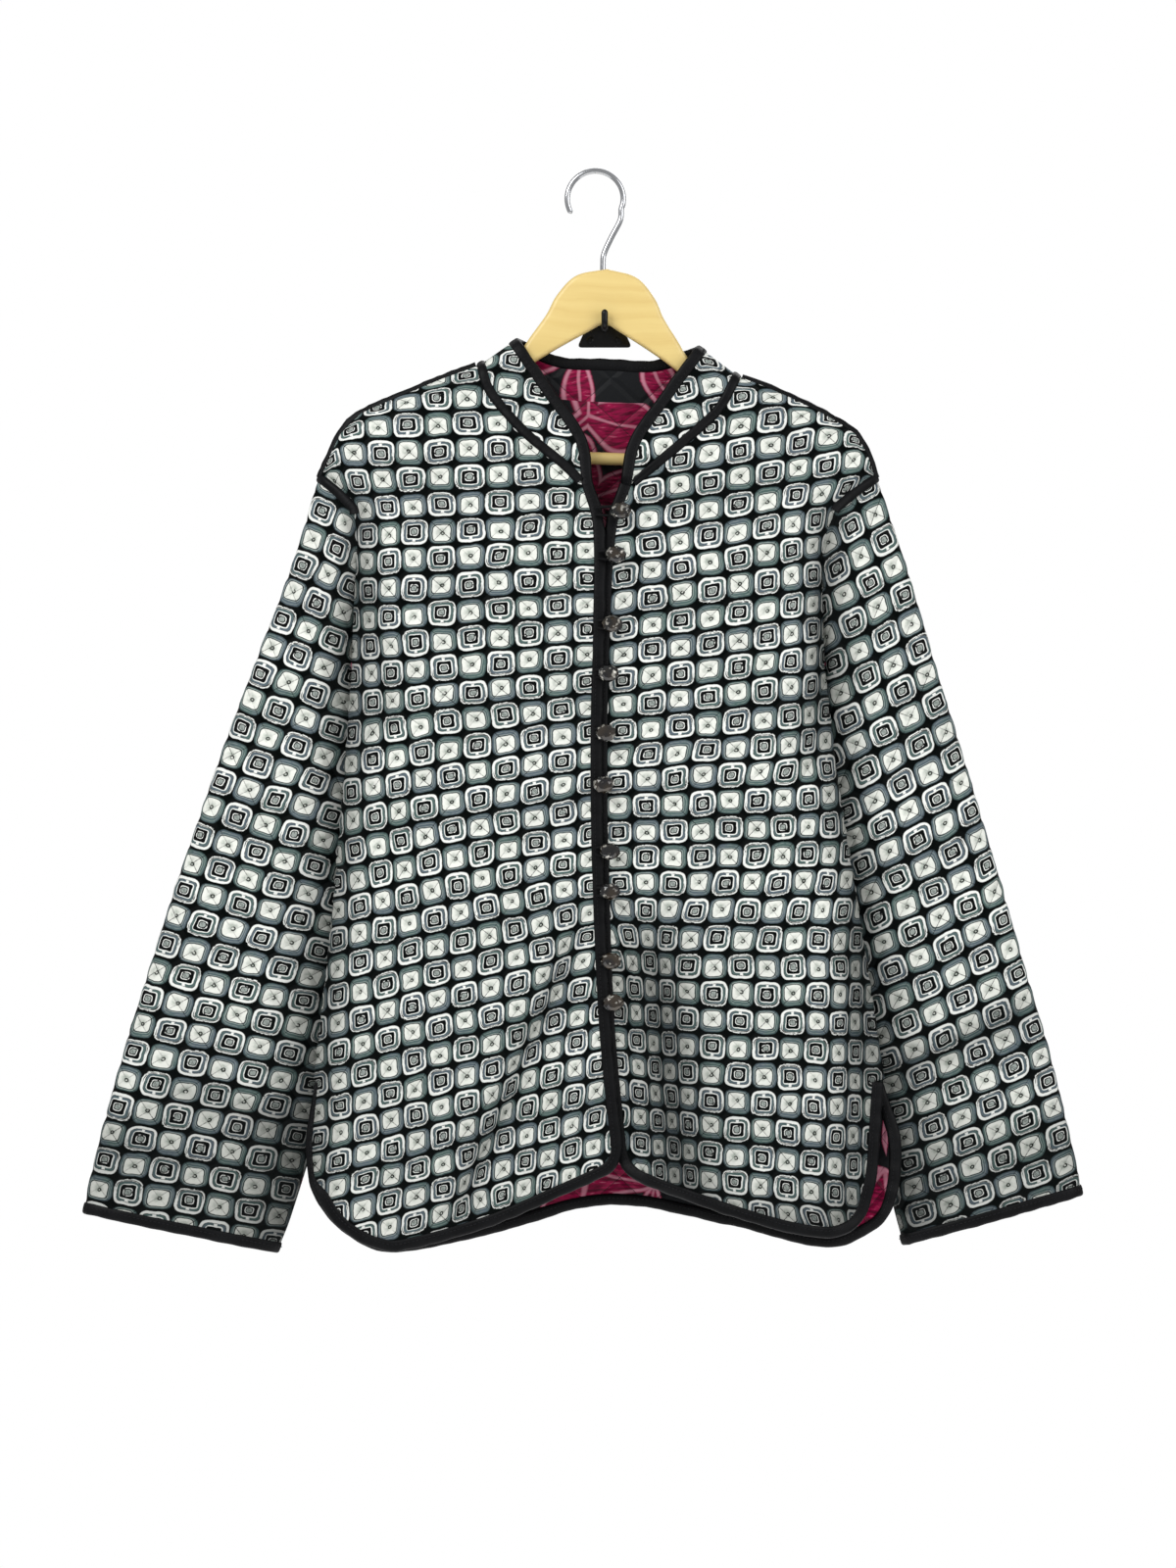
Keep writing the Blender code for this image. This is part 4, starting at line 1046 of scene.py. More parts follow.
class Graph:
    """A material's node tree, with one method that adds any node."""

    def __init__(self, name: str) -> None:
        """Start a material with a Principled shader."""
        self.material = bpy.data.materials.new(name)
        self.material.use_nodes = True
        self.tree = self.material.node_tree
        self.shader = self.tree.nodes["Principled BSDF"]

    def add(self, kind: str, settings: dict, sockets: Sequence | dict, output: int | str = 0) -> Value:
        """Add a node.

        Args:
            kind: The node's type.
            settings: Properties to set first.
            sockets: Values or links of its inputs, in order or by name.
            output: The output to give back.

        Returns:
            One of the node's outputs.
        """
        node = self.tree.nodes.new(kind)
        for key, value in settings.items():
            setattr(node, key, value)
        items = sockets.items() if isinstance(sockets, dict) else enumerate(sockets)
        for key, value in items:
            self.feed(node.inputs[key], value)
        return Value(self, node.outputs[output])

    def feed(self, socket: bpy.types.NodeSocket, value: "Value | float | Sequence[float]") -> None:
        """Link or set one input."""
        if isinstance(value, Value):
            self.tree.links.new(value.socket, socket)
        else:
            socket.default_value = value

    def cloth(self) -> Value:
        """Place on the flat cloth, from the piece's own UV map."""
        return self.add("ShaderNodeUVMap", {"uv_map": UV_NAME}, [])

    def spot(self) -> Value:
        """Place in the object, in metres."""
        return self.add("ShaderNodeTexCoord", {}, [], "Object")

    def vector(self, operation: str, *values: "Value | Sequence[float]") -> Value:
        """Add a Vector Math node."""
        return self.add("ShaderNodeVectorMath", {"operation": operation}, list(values))

    def split(self, vector: Value) -> tuple[Value, Value, Value]:
        """The three numbers of a vector."""
        node = self.add("ShaderNodeSeparateXYZ", {}, [vector]).socket.node
        return tuple(Value(self, node.outputs[k]) for k in range(3))

    def stretched(self, vector: Value, scale: Sequence[float]) -> Value:
        """A place stretched along its axes."""
        return self.add("ShaderNodeMapping", {}, {"Vector": vector, "Scale": scale})

    def noise(self, vector: Value, scale: float, detail: float = 2.0, output: int | str = 0) -> Value:
        """Soft noise over a place."""
        sockets = {"Vector": vector, "Scale": scale, "Detail": detail}
        return self.add("ShaderNodeTexNoise", {}, sockets, output)

    def mix(self, factor: Value | float, first: "Value | Colour", second: "Value | Colour") -> Value:
        """Blend two colours."""
        node = self.tree.nodes.new("ShaderNodeMix")
        node.data_type = "RGBA"
        for index, value in ((0, factor), (6, first), (7, second)):
            self.feed(node.inputs[index], value if isinstance(value, (Value, float, int)) else (*value, 1))
        return Value(self, node.outputs[2])

    def bump(self, height: Value, distance: float, strength: float = 1.0) -> None:
        """Feed a height into the shader's normal."""
        sockets = {"Height": height, "Distance": distance, "Strength": strength}
        self.feed(self.shader.inputs["Normal"], self.add("ShaderNodeBump", {}, sockets))

    def dress(self, **sockets: "Value | float | Sequence[float]") -> Material:
        """Set the shader's own inputs, named with underscores, and give back the material."""
        for key, value in sockets.items():
            self.feed(self.shader.inputs[key.replace("_", " ")], value)
        return self.material


@dataclass(frozen=True)
class Stitching:
    """The quilting's stitch lines as a shader sees them, on the print's repeat."""

    thread: float = 0.3
    soft: float = 0.3
    stitch: float = 3.2

    def lines(self, graph: Graph, cloth: Value) -> tuple[Value, Value]:
        """Work out the stitch lines.

        Args:
            graph: The material.
            cloth: Place on the flat cloth, in repeats.

        Returns:
            Distance to the nearest line in millimetres, and a mask of the stitches.
        """
        u, v, _ = graph.split(cloth)
        across = u * (CLOTH.repeat_wide / CLOTH.diamond_wide)
        along = v * (CLOTH.repeat_tall / CLOTH.diamond_tall)
        spacing = 1 / math.hypot(1 / CLOTH.diamond_wide, 1 / CLOTH.diamond_tall)
        first, second = across + along + 0.5, across - along
        near = [abs((run + 0.5).math("FRACT") - 0.5) * spacing for run in (first, second)]
        dash = [((run * (spacing / self.stitch)).math("FRACT")).below(0.9, 0.1) for run in (second, first)]
        seams = [far.below(self.thread, self.soft) * mark for far, mark in zip(near, dash)]
        return near[0].math("MINIMUM", near[1]), seams[0] | seams[1]


@dataclass(frozen=True)
class QuiltedPrint:
    """Black satin with a hand-drawn checker of rounded squares, quilted in diamonds."""

    ground: Colour = (0.001, 0.0022, 0.002)
    cream: Colour = (0.93, 0.95, 0.88)
    white: Colour = (0.93, 0.95, 0.91)
    slate_blue: Colour = (0.11, 0.146, 0.172)
    slate_green: Colour = (0.09, 0.146, 0.136)
    slate_dark: Colour = (0.022, 0.034, 0.036)
    pale: Colour = (0.4, 0.45, 0.42)
    grey: Colour = (0.36, 0.42, 0.36)
    ink: Colour = (0.003, 0.004, 0.004)
    # Painted sheen and shade: share by which soft patches darken the print
    mottle: float = 0.14
    fill_wide: float = 0.985
    fill_tall: float = 0.925
    wander: float = 0.16
    unsteady: float = 0.09
    corner: float = 3.7
    cream_corner: float = 4.4
    cream_reach: float = 0.638
    core_reach: float = 0.52
    stitching: Stitching = field(default_factory=Stitching)

    def norm(self, x: Value, y: Value, power: float) -> Value:
        """Size of the rounded square that a place lies on, 1 at the motif's edge."""
        return ((abs(x) ** power) + (abs(y) ** power)) ** (1 / power) * 2

    def material(self) -> Material:
        """Build the material."""
        graph = Graph("quilted_print")
        cloth = graph.cloth()
        centred = (0.5, 0.5, 0.5)
        drift = graph.vector("SUBTRACT", graph.noise(cloth, 0.8, 1.0, "Color"), centred)
        shake = graph.vector("SUBTRACT", graph.noise(cloth, 2.7, 3.0, "Color"), centred)
        drawn = graph.vector("ADD", cloth, graph.stretched(drift, (self.wander, self.wander, 0)))
        cell = graph.vector("FLOOR", drawn)
        x, y, _ = graph.split(graph.vector("SUBTRACT", drawn, graph.vector("ADD", cell, (0.5, 0.5, 0))))
        shake_x, shake_y, _ = graph.split(shake)
        x = (x + shake_x * self.unsteady) / self.fill_wide
        y = (y + shake_y * self.unsteady) / self.fill_tall
        cell_x, cell_y, _ = graph.split(cell)
        odd = ((cell_x + cell_y) * 0.5).math("FRACT").above(0.25, 0.01)
        up = (cell_y * 0.25).math("FRACT").above(0.4, 0.01) * 2 - 1
        chance = graph.add("ShaderNodeTexWhiteNoise", {"noise_dimensions": "2D"}, {"Vector": cell}, "Color")
        lean, tint, _ = graph.split(chance)
        wash = (graph.noise(cloth, 1.7, 2.0) + tint * 0.4).above(0.7, 0.3)
        slate = graph.mix(wash, self.slate_blue, self.slate_green)
        size = self.norm(x, y, self.corner)
        plain = self.plain_square(graph, cloth, (x, y), size, slate, (lean, up))
        ringed = self.ringed_square(graph, cloth, (x, y), size, slate, up)
        motif = graph.mix(odd, plain, ringed)
        colour = graph.mix(size.below(0.985, 0.04), self.ground, motif)
        near, thread = self.stitching.lines(graph, cloth)
        shown = graph.noise(cloth, 0.9, 1.0).above(0.46, 0.3)
        colour = graph.mix(thread * shown * 0.8, colour, self.ink)
        # Painted shade: the shade attribute darkens the print's base colour toward ink in folds and tucks,
        # and toward the hem and cuffs
        shade = graph.add("ShaderNodeAttribute", {"attribute_name": SHADE_NAME}, [], "Fac")
        # Painted sheen and shade: soft patches over the cloth darken the print a little more toward ink
        mottle = graph.noise(cloth, 0.45, 3.0).above(0.56, 0.3) * self.mottle
        colour = graph.mix(1 - shade * (1 - mottle), colour, self.ink)
        weave = graph.noise(graph.stretched(cloth, (90, 22, 1)), 2.0, 2.0)
        crease = graph.noise(cloth, 2.4, 4.0)
        height = (near * 0.22).clamped() * 1.1 + crease * near.below(8.0, 10.0) * 0.9 + weave * 0.04
        graph.bump(height - thread * 0.12, 0.0014, 0.9)
        rough = 0.4 + weave * 0.14 + thread * 0.2
        return graph.dress(Base_Color=colour, Roughness=rough, Specular_IOR_Level=0.04)

    def plain_square(self, graph: Graph, cloth: Value, place: tuple[Value, Value], size: Value,
                     slate: Value, ways: tuple[Value, Value]) -> Value:
        """Colour of the cream squares, each set off-centre in a slate border.

        Args:
            graph: The material.
            cloth: Place on the flat cloth.
            place: Place across and up the square.
            size: Size of the rounded square at that place.
            slate: Colour of the border.
            ways: A random number for each square, and the way its cream part is pushed.

        Returns:
            The colour.
        """
        lean, up = ways
        x = place[0] + 0.022 + (lean - 0.5) * 0.03
        y = place[1] - up * 0.06
        inner = self.norm(x, y, self.cream_corner)
        brush = graph.noise(cloth, 6.0, 3.0)
        border = graph.mix(size.above(0.94, 0.07), slate, self.slate_dark)
        border = graph.mix(size.between(0.8, 0.845, 0.035) * brush.above(0.4, 0.2) * 0.5, border, self.pale)
        border = graph.mix(inner.between(0.72, 0.765, 0.03) * 0.8, border, self.pale)
        border = graph.mix(inner.below(0.695, 0.03), border, self.slate_dark)
        dot_x, dot_y = x - 0.025, y + 0.01
        radius = (dot_x * dot_x + dot_y * dot_y).math("SQRT")
        swirl_x, swirl_y = dot_x + 0.045, dot_y - 0.04
        swirl = (swirl_x * swirl_x + swirl_y * swirl_y).math("SQRT").below(0.16, 0.14)
        middle = graph.mix(swirl * brush.above(0.42, 0.34) * 0.8, self.cream, self.grey)
        ring = radius.between(0.034, 0.082, 0.018) * (brush + dot_x * 1.8).above(0.34, 0.14)
        middle = graph.mix(ring * 0.96, middle, self.ink)
        return graph.mix(inner.below(self.cream_reach, 0.03), border, middle)

    def ringed_square(self, graph: Graph, cloth: Value, place: tuple[Value, Value], size: Value,
                      slate: Value, up: Value) -> Value:
        """Colour of the squares drawn in rings, with a dark core.

        Args:
            graph: The material.
            cloth: Place on the flat cloth.
            place: Place across and up the square.
            size: Size of the rounded square at that place.
            slate: Colour of the wide ring.
            up: The way the ring's gap points.

        Returns:
            The colour.
        """
        x, y = place
        brush = graph.noise(cloth, 7.5, 3.0)
        ring_x, ring_y = x - 0.008, y + up * 0.012
        band = self.norm(ring_x, ring_y, 5.0)
        notch = abs(x).below(0.035 + (y * up) * 0.06, 0.025) * (y * up).above(0.1, 0.02)
        ring = band.between(0.6, 0.775, 0.025) * (1 - notch)
        colour = graph.mix(ring, self.white, slate)
        line = band.between(0.755, 0.805, 0.02) * brush.above(0.42, 0.2)
        colour = graph.mix(line * 0.85, colour, self.ink)
        stroke = size.between(0.85, 0.905, 0.02) * (y * up).below(-0.08, 0.2) * brush.above(0.39, 0.12)
        colour = graph.mix(stroke * 0.95, colour, self.ink)
        rim = size.above(0.94, 0.03) * (y * up).below(-0.2, 0.15) * brush.below(0.46, 0.1)
        colour = graph.mix(rim, colour, self.ink)
        core = self.norm(x + 0.004, y + up * 0.02, 8.0)
        colour = graph.mix(core.below(self.core_reach, 0.02), colour, self.ink)
        face = self.norm(x + 0.004, y + up * 0.02, 3.4)
        colour = graph.mix(face.between(0.255, 0.315, 0.02) * brush.above(0.42, 0.1), colour, self.white)
        colour = graph.mix(face.below(0.19, 0.03) * 0.92, colour, self.pale)
        slash = abs(x + y * 0.8 + 0.01).between(0.018, 0.034, 0.014) * face.below(0.25, 0.04)
        return graph.mix(slash * brush.above(0.44, 0.12), colour, self.ink)


@dataclass(frozen=True)
class PetalLining:
    """Charcoal satin with large crimson and pink petals, the jacket's other face."""

    ground: Colour = (0.007, 0.008, 0.0095)
    crimson: Colour = (0.33, 0.004, 0.06)
    deep: Colour = (0.09, 0.003, 0.02)
    pink: Colour = (0.6, 0.25, 0.33)
    stitching: Stitching = field(default_factory=Stitching)

    def material(self) -> Material:
        """Build the material."""
        graph = Graph("petal_lining")
        cloth = graph.cloth()
        drift = graph.vector("SUBTRACT", graph.noise(cloth, 0.35, 1.0, "Color"), (0.5, 0.5, 0.5))
        drawn = graph.vector("ADD", cloth, graph.stretched(drift, (1.3, 1.3, 0)))
        cells = {"Vector": drawn, "Scale": 0.36, "Randomness": 0.55}
        flat = {"voronoi_dimensions": "2D"}
        first = graph.add("ShaderNodeTexVoronoi", flat, cells, "Distance")
        second = graph.add("ShaderNodeTexVoronoi", flat | {"feature": "F2"}, cells, "Distance")
        petal = second.below(0.76, 0.02)
        rib = second - first
        streak = graph.noise(graph.stretched(drawn, (1.2, 6.0, 1)), 1.6, 3.0)
        colour = graph.mix(streak.above(0.52, 0.25), self.crimson, self.deep)
        colour = graph.mix(streak.below(0.33, 0.1) * 0.55, colour, self.pink)
        colour = graph.mix(rib.below(0.035, 0.03) * 0.7, colour, self.pink)
        colour = graph.mix(second.between(0.7, 0.745, 0.025) * 0.9, colour, self.pink)
        colour = graph.mix(petal, self.ground, colour)
        near, thread = self.stitching.lines(graph, cloth)
        colour = graph.mix(thread * 0.8, colour, self.ground)
        weave = graph.noise(graph.stretched(cloth, (90, 22, 1)), 2.0, 2.0)
        height = (near * 0.28).clamped() + weave * 0.05 + graph.noise(cloth, 3.2, 3.0) * 0.35
        graph.bump(height, 0.0011, 0.7)
        return graph.dress(Base_Color=colour, Roughness=0.38 + weave * 0.12, Specular_IOR_Level=0.15)


@dataclass(frozen=True)
class BlackSatin:
    """Black satin ribbon of the bindings and tapes, or the satin of the cords."""

    name: str
    colour: Colour = (0.002, 0.0022, 0.0028)
    mottle: Colour = (0.0055, 0.0058, 0.0068)
    ribs: float = 900.0

    def material(self) -> Material:
        """Build the material."""
        graph = Graph(self.name)
        cloth = graph.cloth()
        spot = graph.spot()
        soft = graph.noise(spot, 60.0, 3.0)
        grain = graph.noise(graph.stretched(cloth, (self.ribs, self.ribs * 0.25, 1)), 1.0, 2.0)
        colour = graph.mix(soft.above(0.56, 0.3) * 0.7, self.colour, self.mottle)
        gather = graph.noise(graph.stretched(cloth, (260, 30, 1)), 1.0, 2.0)
        graph.bump(gather * 0.8 + grain * 0.25, 0.0006, 0.8)
        return graph.dress(Base_Color=colour, Roughness=0.4 + soft * 0.2, Specular_IOR_Level=0.14)


@dataclass(frozen=True)
class SmokyGlass:
    """Dark mirrored buttons with browner flecks, and pale flecks that are painted glints, partly real ones as
    the metallic finish reflects the lamps in them.
    """

    dark: Colour = (0.008, 0.008, 0.009)
    glint_fleck: Colour = (0.5, 0.48, 0.43)
    brown: Colour = (0.05, 0.036, 0.022)

    def material(self) -> Material:
        """Build the material."""
        graph = Graph("smoky_button")
        spot = graph.spot()
        cloud = graph.noise(spot, 210.0, 2.0)
        warm = graph.noise(spot, 90.0, 1.0)
        colour = graph.mix(warm.above(0.52, 0.2), self.dark, self.brown)
        # Painted glints: pale patches of base colour, which the metallic finish also turns into reflections
        # of the lamps
        colour = graph.mix(cloud.above(0.62, 0.06), colour, self.glint_fleck)
        return graph.dress(Base_Color=colour, Metallic=0.6, Roughness=0.05 + cloud * 0.1, Coat_Weight=1.0,
                           Coat_Roughness=0.03)


@dataclass(frozen=True)
class PaleWood:
    """Pale yellow wood under a satin varnish, its grain along X."""

    light: Colour = (0.85, 0.65, 0.25)
    dark: Colour = (0.74, 0.52, 0.17)

    def material(self) -> Material:
        """Build the material."""
        graph = Graph("pale_wood")
        spot = graph.spot()
        bend = graph.noise(spot, 14.0, 2.0)
        x, y, z = graph.split(spot)
        rings = graph.add("ShaderNodeCombineXYZ", {}, [x * 5.0, y * 120.0, z * 120.0 + bend * 2.2])
        grain = graph.noise(rings, 1.3, 3.0)
        pores = graph.noise(graph.stretched(spot, (120, 1600, 1600)), 1.0, 2.0)
        colour = graph.mix(grain.above(0.52, 0.35) * 0.6, self.light, self.dark)
        colour = graph.mix(pores.above(0.68, 0.08) * 0.25, colour, self.dark)
        graph.bump(grain * 0.3 - pores.above(0.66, 0.1) * 0.4, 0.0002, 0.5)
        return graph.dress(Base_Color=colour, Roughness=0.34 + grain * 0.12, Coat_Weight=0.25,
                           Coat_Roughness=0.25)


@dataclass(frozen=True)
class ChromeWire:
    """Polished plated wire with fine rubbed marks."""

    colour: Colour = (0.55, 0.56, 0.58)
    mottle: Colour = (0.4, 0.41, 0.43)

    def material(self) -> Material:
        """Build the material."""
        graph = Graph("chrome_wire")
        spot = graph.spot()
        rub = graph.noise(graph.stretched(spot, (300, 300, 90)), 1.0, 2.0)
        cloud = graph.noise(spot, 45.0, 2.0)
        colour = graph.mix(cloud.above(0.6, 0.3) * 0.4, self.colour, self.mottle)
        return graph.dress(Base_Color=colour, Metallic=1.0, Roughness=0.16 + rub * 0.06)


@dataclass(frozen=True)
class BlackIron:
    """Black paint over iron, a little rubbed."""

    colour: Colour = (0.003, 0.003, 0.0035)
    rubbed: Colour = (0.015, 0.015, 0.016)

    def material(self) -> Material:
        """Build the material."""
        graph = Graph("black_iron")
        spot = graph.spot()
        cloud = graph.noise(spot, 120.0, 3.0)
        peel = graph.noise(spot, 900.0, 2.0)
        graph.bump(peel, 0.0002, 0.4)
        colour = graph.mix(cloud.above(0.6, 0.2) * 0.6, self.colour, self.rubbed)
        return graph.dress(Base_Color=colour, Roughness=0.24 + cloud * 0.16, Specular_IOR_Level=0.25)


class Pattern:
    """Every edge and seam that two pieces share, worked out once."""

    binding: float = 8.0
    corner_room: float = 20.0
    vent_turn: float = -694.0
    vent_ease: float = 20.0
    vent_side: float = -200.0
    vent_hidden: float = 0.78
    fold_wave: float = 0.8

    def __init__(self) -> None:
        """Cut both sides and the back."""
        self.edge_out, self.edge_in, self.collar_seam = {}, {}, {}
        self.neck_out, self.neck_in, self.ridge, self.neck_side = {}, {}, {}, {}
        self.side_seam, self.arm_front, self.arm_back = {}, {}, {}
        for side in Side:
            self.cut_side(side)
        self.cut_back()

    @staticmethod
    def laid(path: Array, depth: Depth) -> Array:
        """A path in the front view laid on a surface."""
        return np.column_stack([path[:, 0], depth(path[:, 0], path[:, 1]), path[:, 1]])

    def cut_side(self, side: Side) -> None:
        """Work out the edges and seams of one side."""
        step = CLOTH.edge_step
        depth = DRAPE.front if side is Side.RIGHT else DRAPE.lapped
        neck = smooth_path(pair_knots(NECK_EDGE, side), step)
        front = smooth_path(pair_knots(FRONT_EDGE, side), step)
        hem = smooth_path(pair_knots(FRONT_HEM, side), step)
        low = eased_corner(np.vstack([front, hem[1:]]), front[-1], self.corner_room, step)
        outer = np.vstack([neck, low[1:]])
        inset = np.full(len(outer), side.value * self.binding)
        if side is Side.RIGHT:
            on_vent = (outer[:, 0] < self.vent_side) * (outer[:, 1] < UNDERARM)
            turned = ease((outer[:, 1] - self.vent_turn) / self.vent_ease) * on_vent
            inset *= 1 - self.vent_hidden * turned
        inner = outer + inset[:, None] * path_normals(outer)
        seam_knots = pair_knots(COLLAR_SEAM, side)
        toward = seam_knots[0] - outer[0]
        inner[0] = outer[0] + unit(toward) * self.binding
        split = len(neck) - 1
        edge = self.laid(inner[split:], depth)
        self.edge_in[side], self.edge_out[side] = edge, outer[split:]
        collar = self.laid(inner[:split + 1], DRAPE.front)
        collar[0, 1] = DRAPE.ridge_y
        collar[-1] = edge[0]
        self.neck_in[side], self.neck_out[side] = collar, outer[:split + 1]
        knots = pair_knots(RIDGE, side)
        ridge = np.column_stack([knots[:, 0], np.full(len(knots), DRAPE.ridge_y), knots[:, 1]])
        self.ridge[side] = smooth_path(ridge, step)
        self.neck_side[side] = even_path(np.array([self.ridge[side][0], collar[0]]), step)
        seam = self.laid(smooth_path(np.vstack([seam_knots, inner[split]]), step), depth)
        seam[0], seam[-1] = self.ridge[side][0], edge[0]
        self.collar_seam[side] = seam
        arm = [row for row in FLANKS if UNDERARM <= row.level <= SHOULDER_POINT]
        for store, column in ((self.arm_front, "front"), (self.arm_back, "back")):
            path = np.array([(getattr(row, side.key), getattr(row, column), row.level) for row in arm], float)
            store[side] = np.vstack([even_path(path[:3], step), even_path(path[2:], step)[1:]])
        below = [row for row in FLANKS if VENT_TOP <= row.level <= UNDERARM]
        knots = [(getattr(row, side.key), row.front, row.level) for row in below]
        fold = even_path(np.array(knots, float), step)
        fade = np.sqrt(np.sin(math.pi * np.linspace(0, 1, len(fold))[1:-1]))
        fold[1:-1, 0] += self.fold_wave * fade * np.sin(math.tau * fold[1:-1, 2] / DRAPE.ruche_length)
        self.side_seam[side] = fold

    def cut_back(self) -> None:
        """Work out the edges and seams of the back."""
        step = CLOTH.edge_step
        self.back_out = smooth_path(BACK_HEM, step)
        self.back_in = self.laid(self.back_out + self.binding * path_normals(self.back_out), DRAPE.back)
        self.back_neck_out = smooth_path(BACK_NECK_EDGE, step)
        inner = self.back_neck_out - self.binding * path_normals(self.back_neck_out)
        self.back_neck_in = self.laid(inner, DRAPE.back)
        self.back_neck_in[0] = self.neck_in[Side.RIGHT][0]
        self.back_neck_in[-1] = self.neck_in[Side.LEFT][0]
        self.back_seam = self.laid(smooth_path(BACK_NECK_SEAM, step), DRAPE.back)
        self.back_seam[0] = self.ridge[Side.RIGHT][0]
        self.back_seam[-1] = self.ridge[Side.LEFT][0]


class Spread:
    """Where a place in the front view lies on the flat cloth, in millimetres."""

    roll_extra: float = 6.4
    pivot: float = 110.0
    front_turn: float = 16.0
    front_turn_power: int = 8
    column_lean: float = 0.055
    column_top: float = -130.0
    column_reach: float = 180.0
    back_turn: float = 30.0
    back_turn_power: int = 3
    back_turn_fall: Fall = (-150, 120)
    back_rise: float = 0.04
    collar_shift: tuple[float, float] = (7.0, 5.0)
    sleeve_length: float = 0.96
    sleeve_stretch: float = 1.05

    @staticmethod
    def rolled(x: Array, z: Array) -> Array:
        """Cloth that lies in the shoulder's roll, counted upward."""
        return Spread.roll_extra * (1 - ease((DRAPE.ridge_height(x) - z) / DRAPE.shoulder_roll))

    @staticmethod
    def front(side: Side) -> Depth:
        """Flat place on a front, with the slant of the print's rows."""
        def place(x: Array, z: Array) -> Array:
            """Flat places."""
            _, across, along, _ = DRAPE.tucked(side, x, z)
            slant = at_level(SLANTS, z, side.key)
            turn = np.sign(x) * DRAPE.flank(x, z) ** Spread.front_turn_power * Spread.front_turn
            share = np.clip(x / Spread.column_reach, -1, 1)
            lean = Spread.column_lean * (z - Spread.column_top) * share
            rise = Spread.rolled(x, z) + along - slant * (x - side.value * Spread.pivot)
            return np.column_stack([x + turn + across - lean, z + rise])
        return place

    @staticmethod
    def back(x: Array, z: Array) -> Array:
        """Flat place on the back."""
        share = np.sign(x) * DRAPE.flank(x, z) ** Spread.back_turn_power
        turn = share * Spread.back_turn * falling(z, *Spread.back_turn_fall)
        return np.column_stack([x + turn, z + Spread.rolled(x, z) + Spread.back_rise * np.abs(x)])

    @staticmethod
    def collar(turn: float) -> Depth:
        """Flat place on the collar, turned by some degrees."""
        cos, sin = math.cos(math.radians(turn)), math.sin(math.radians(turn))

        def place(x: Array, z: Array) -> Array:
            """Flat places."""
            turned = np.column_stack([x * cos + z * sin, z * cos - x * sin + Spread.rolled(x, z)])
            return turned + Spread.collar_shift
        return place

    @staticmethod
    def sleeve(side: Side, face: Face) -> Depth:
        """Flat place on a sleeve, measured from its outer fold."""
        rows = SLEEVES[side]
        levels = np.linspace(rows[0].level, rows[-1].level, 160)
        runs = ((0, 0.06, 12), (0.08, 0.92, 60), (0.94, 1, 12))
        shares = np.concatenate([np.linspace(*run) for run in runs])
        depth = DRAPE.sleeve(side, face)
        outer, inner = DRAPE.sleeve_edges(side, levels)
        xs = outer[:, None] + (inner - outer)[:, None] * shares
        ys = depth(xs, np.broadcast_to(levels[:, None], xs.shape))
        arcs = np.cumsum(np.hypot(np.diff(xs, axis=1), np.diff(ys, axis=1)), axis=1)
        arcs = np.hstack([np.zeros((len(levels), 1)), arcs])

        def place(x: Array, z: Array) -> Array:
            """Flat places."""
            share = DRAPE.sleeve_share(side, x, z)
            drop = (rows[0].level - z) / (rows[0].level - rows[-1].level)
            row = np.clip(drop * (len(levels) - 1), 0, len(levels) - 1.001)
            low = row.astype(int)
            part = row - low
            column = np.interp(share, shares, np.arange(len(shares)))
            left = np.minimum(column.astype(int), len(shares) - 2)
            rest = column - left
            arc = sum(weight * (arcs[low + k, left] * (1 - rest) + arcs[low + k, left + 1] * rest)
                      for k, weight in ((0, 1 - part), (1, part)))
            along = z / Spread.sleeve_length + at_level(SLANTS, z, "sleeve_" + side.key) * arc
            return np.column_stack([side.value * face.value * arc, along]) / Spread.sleeve_stretch
        return place


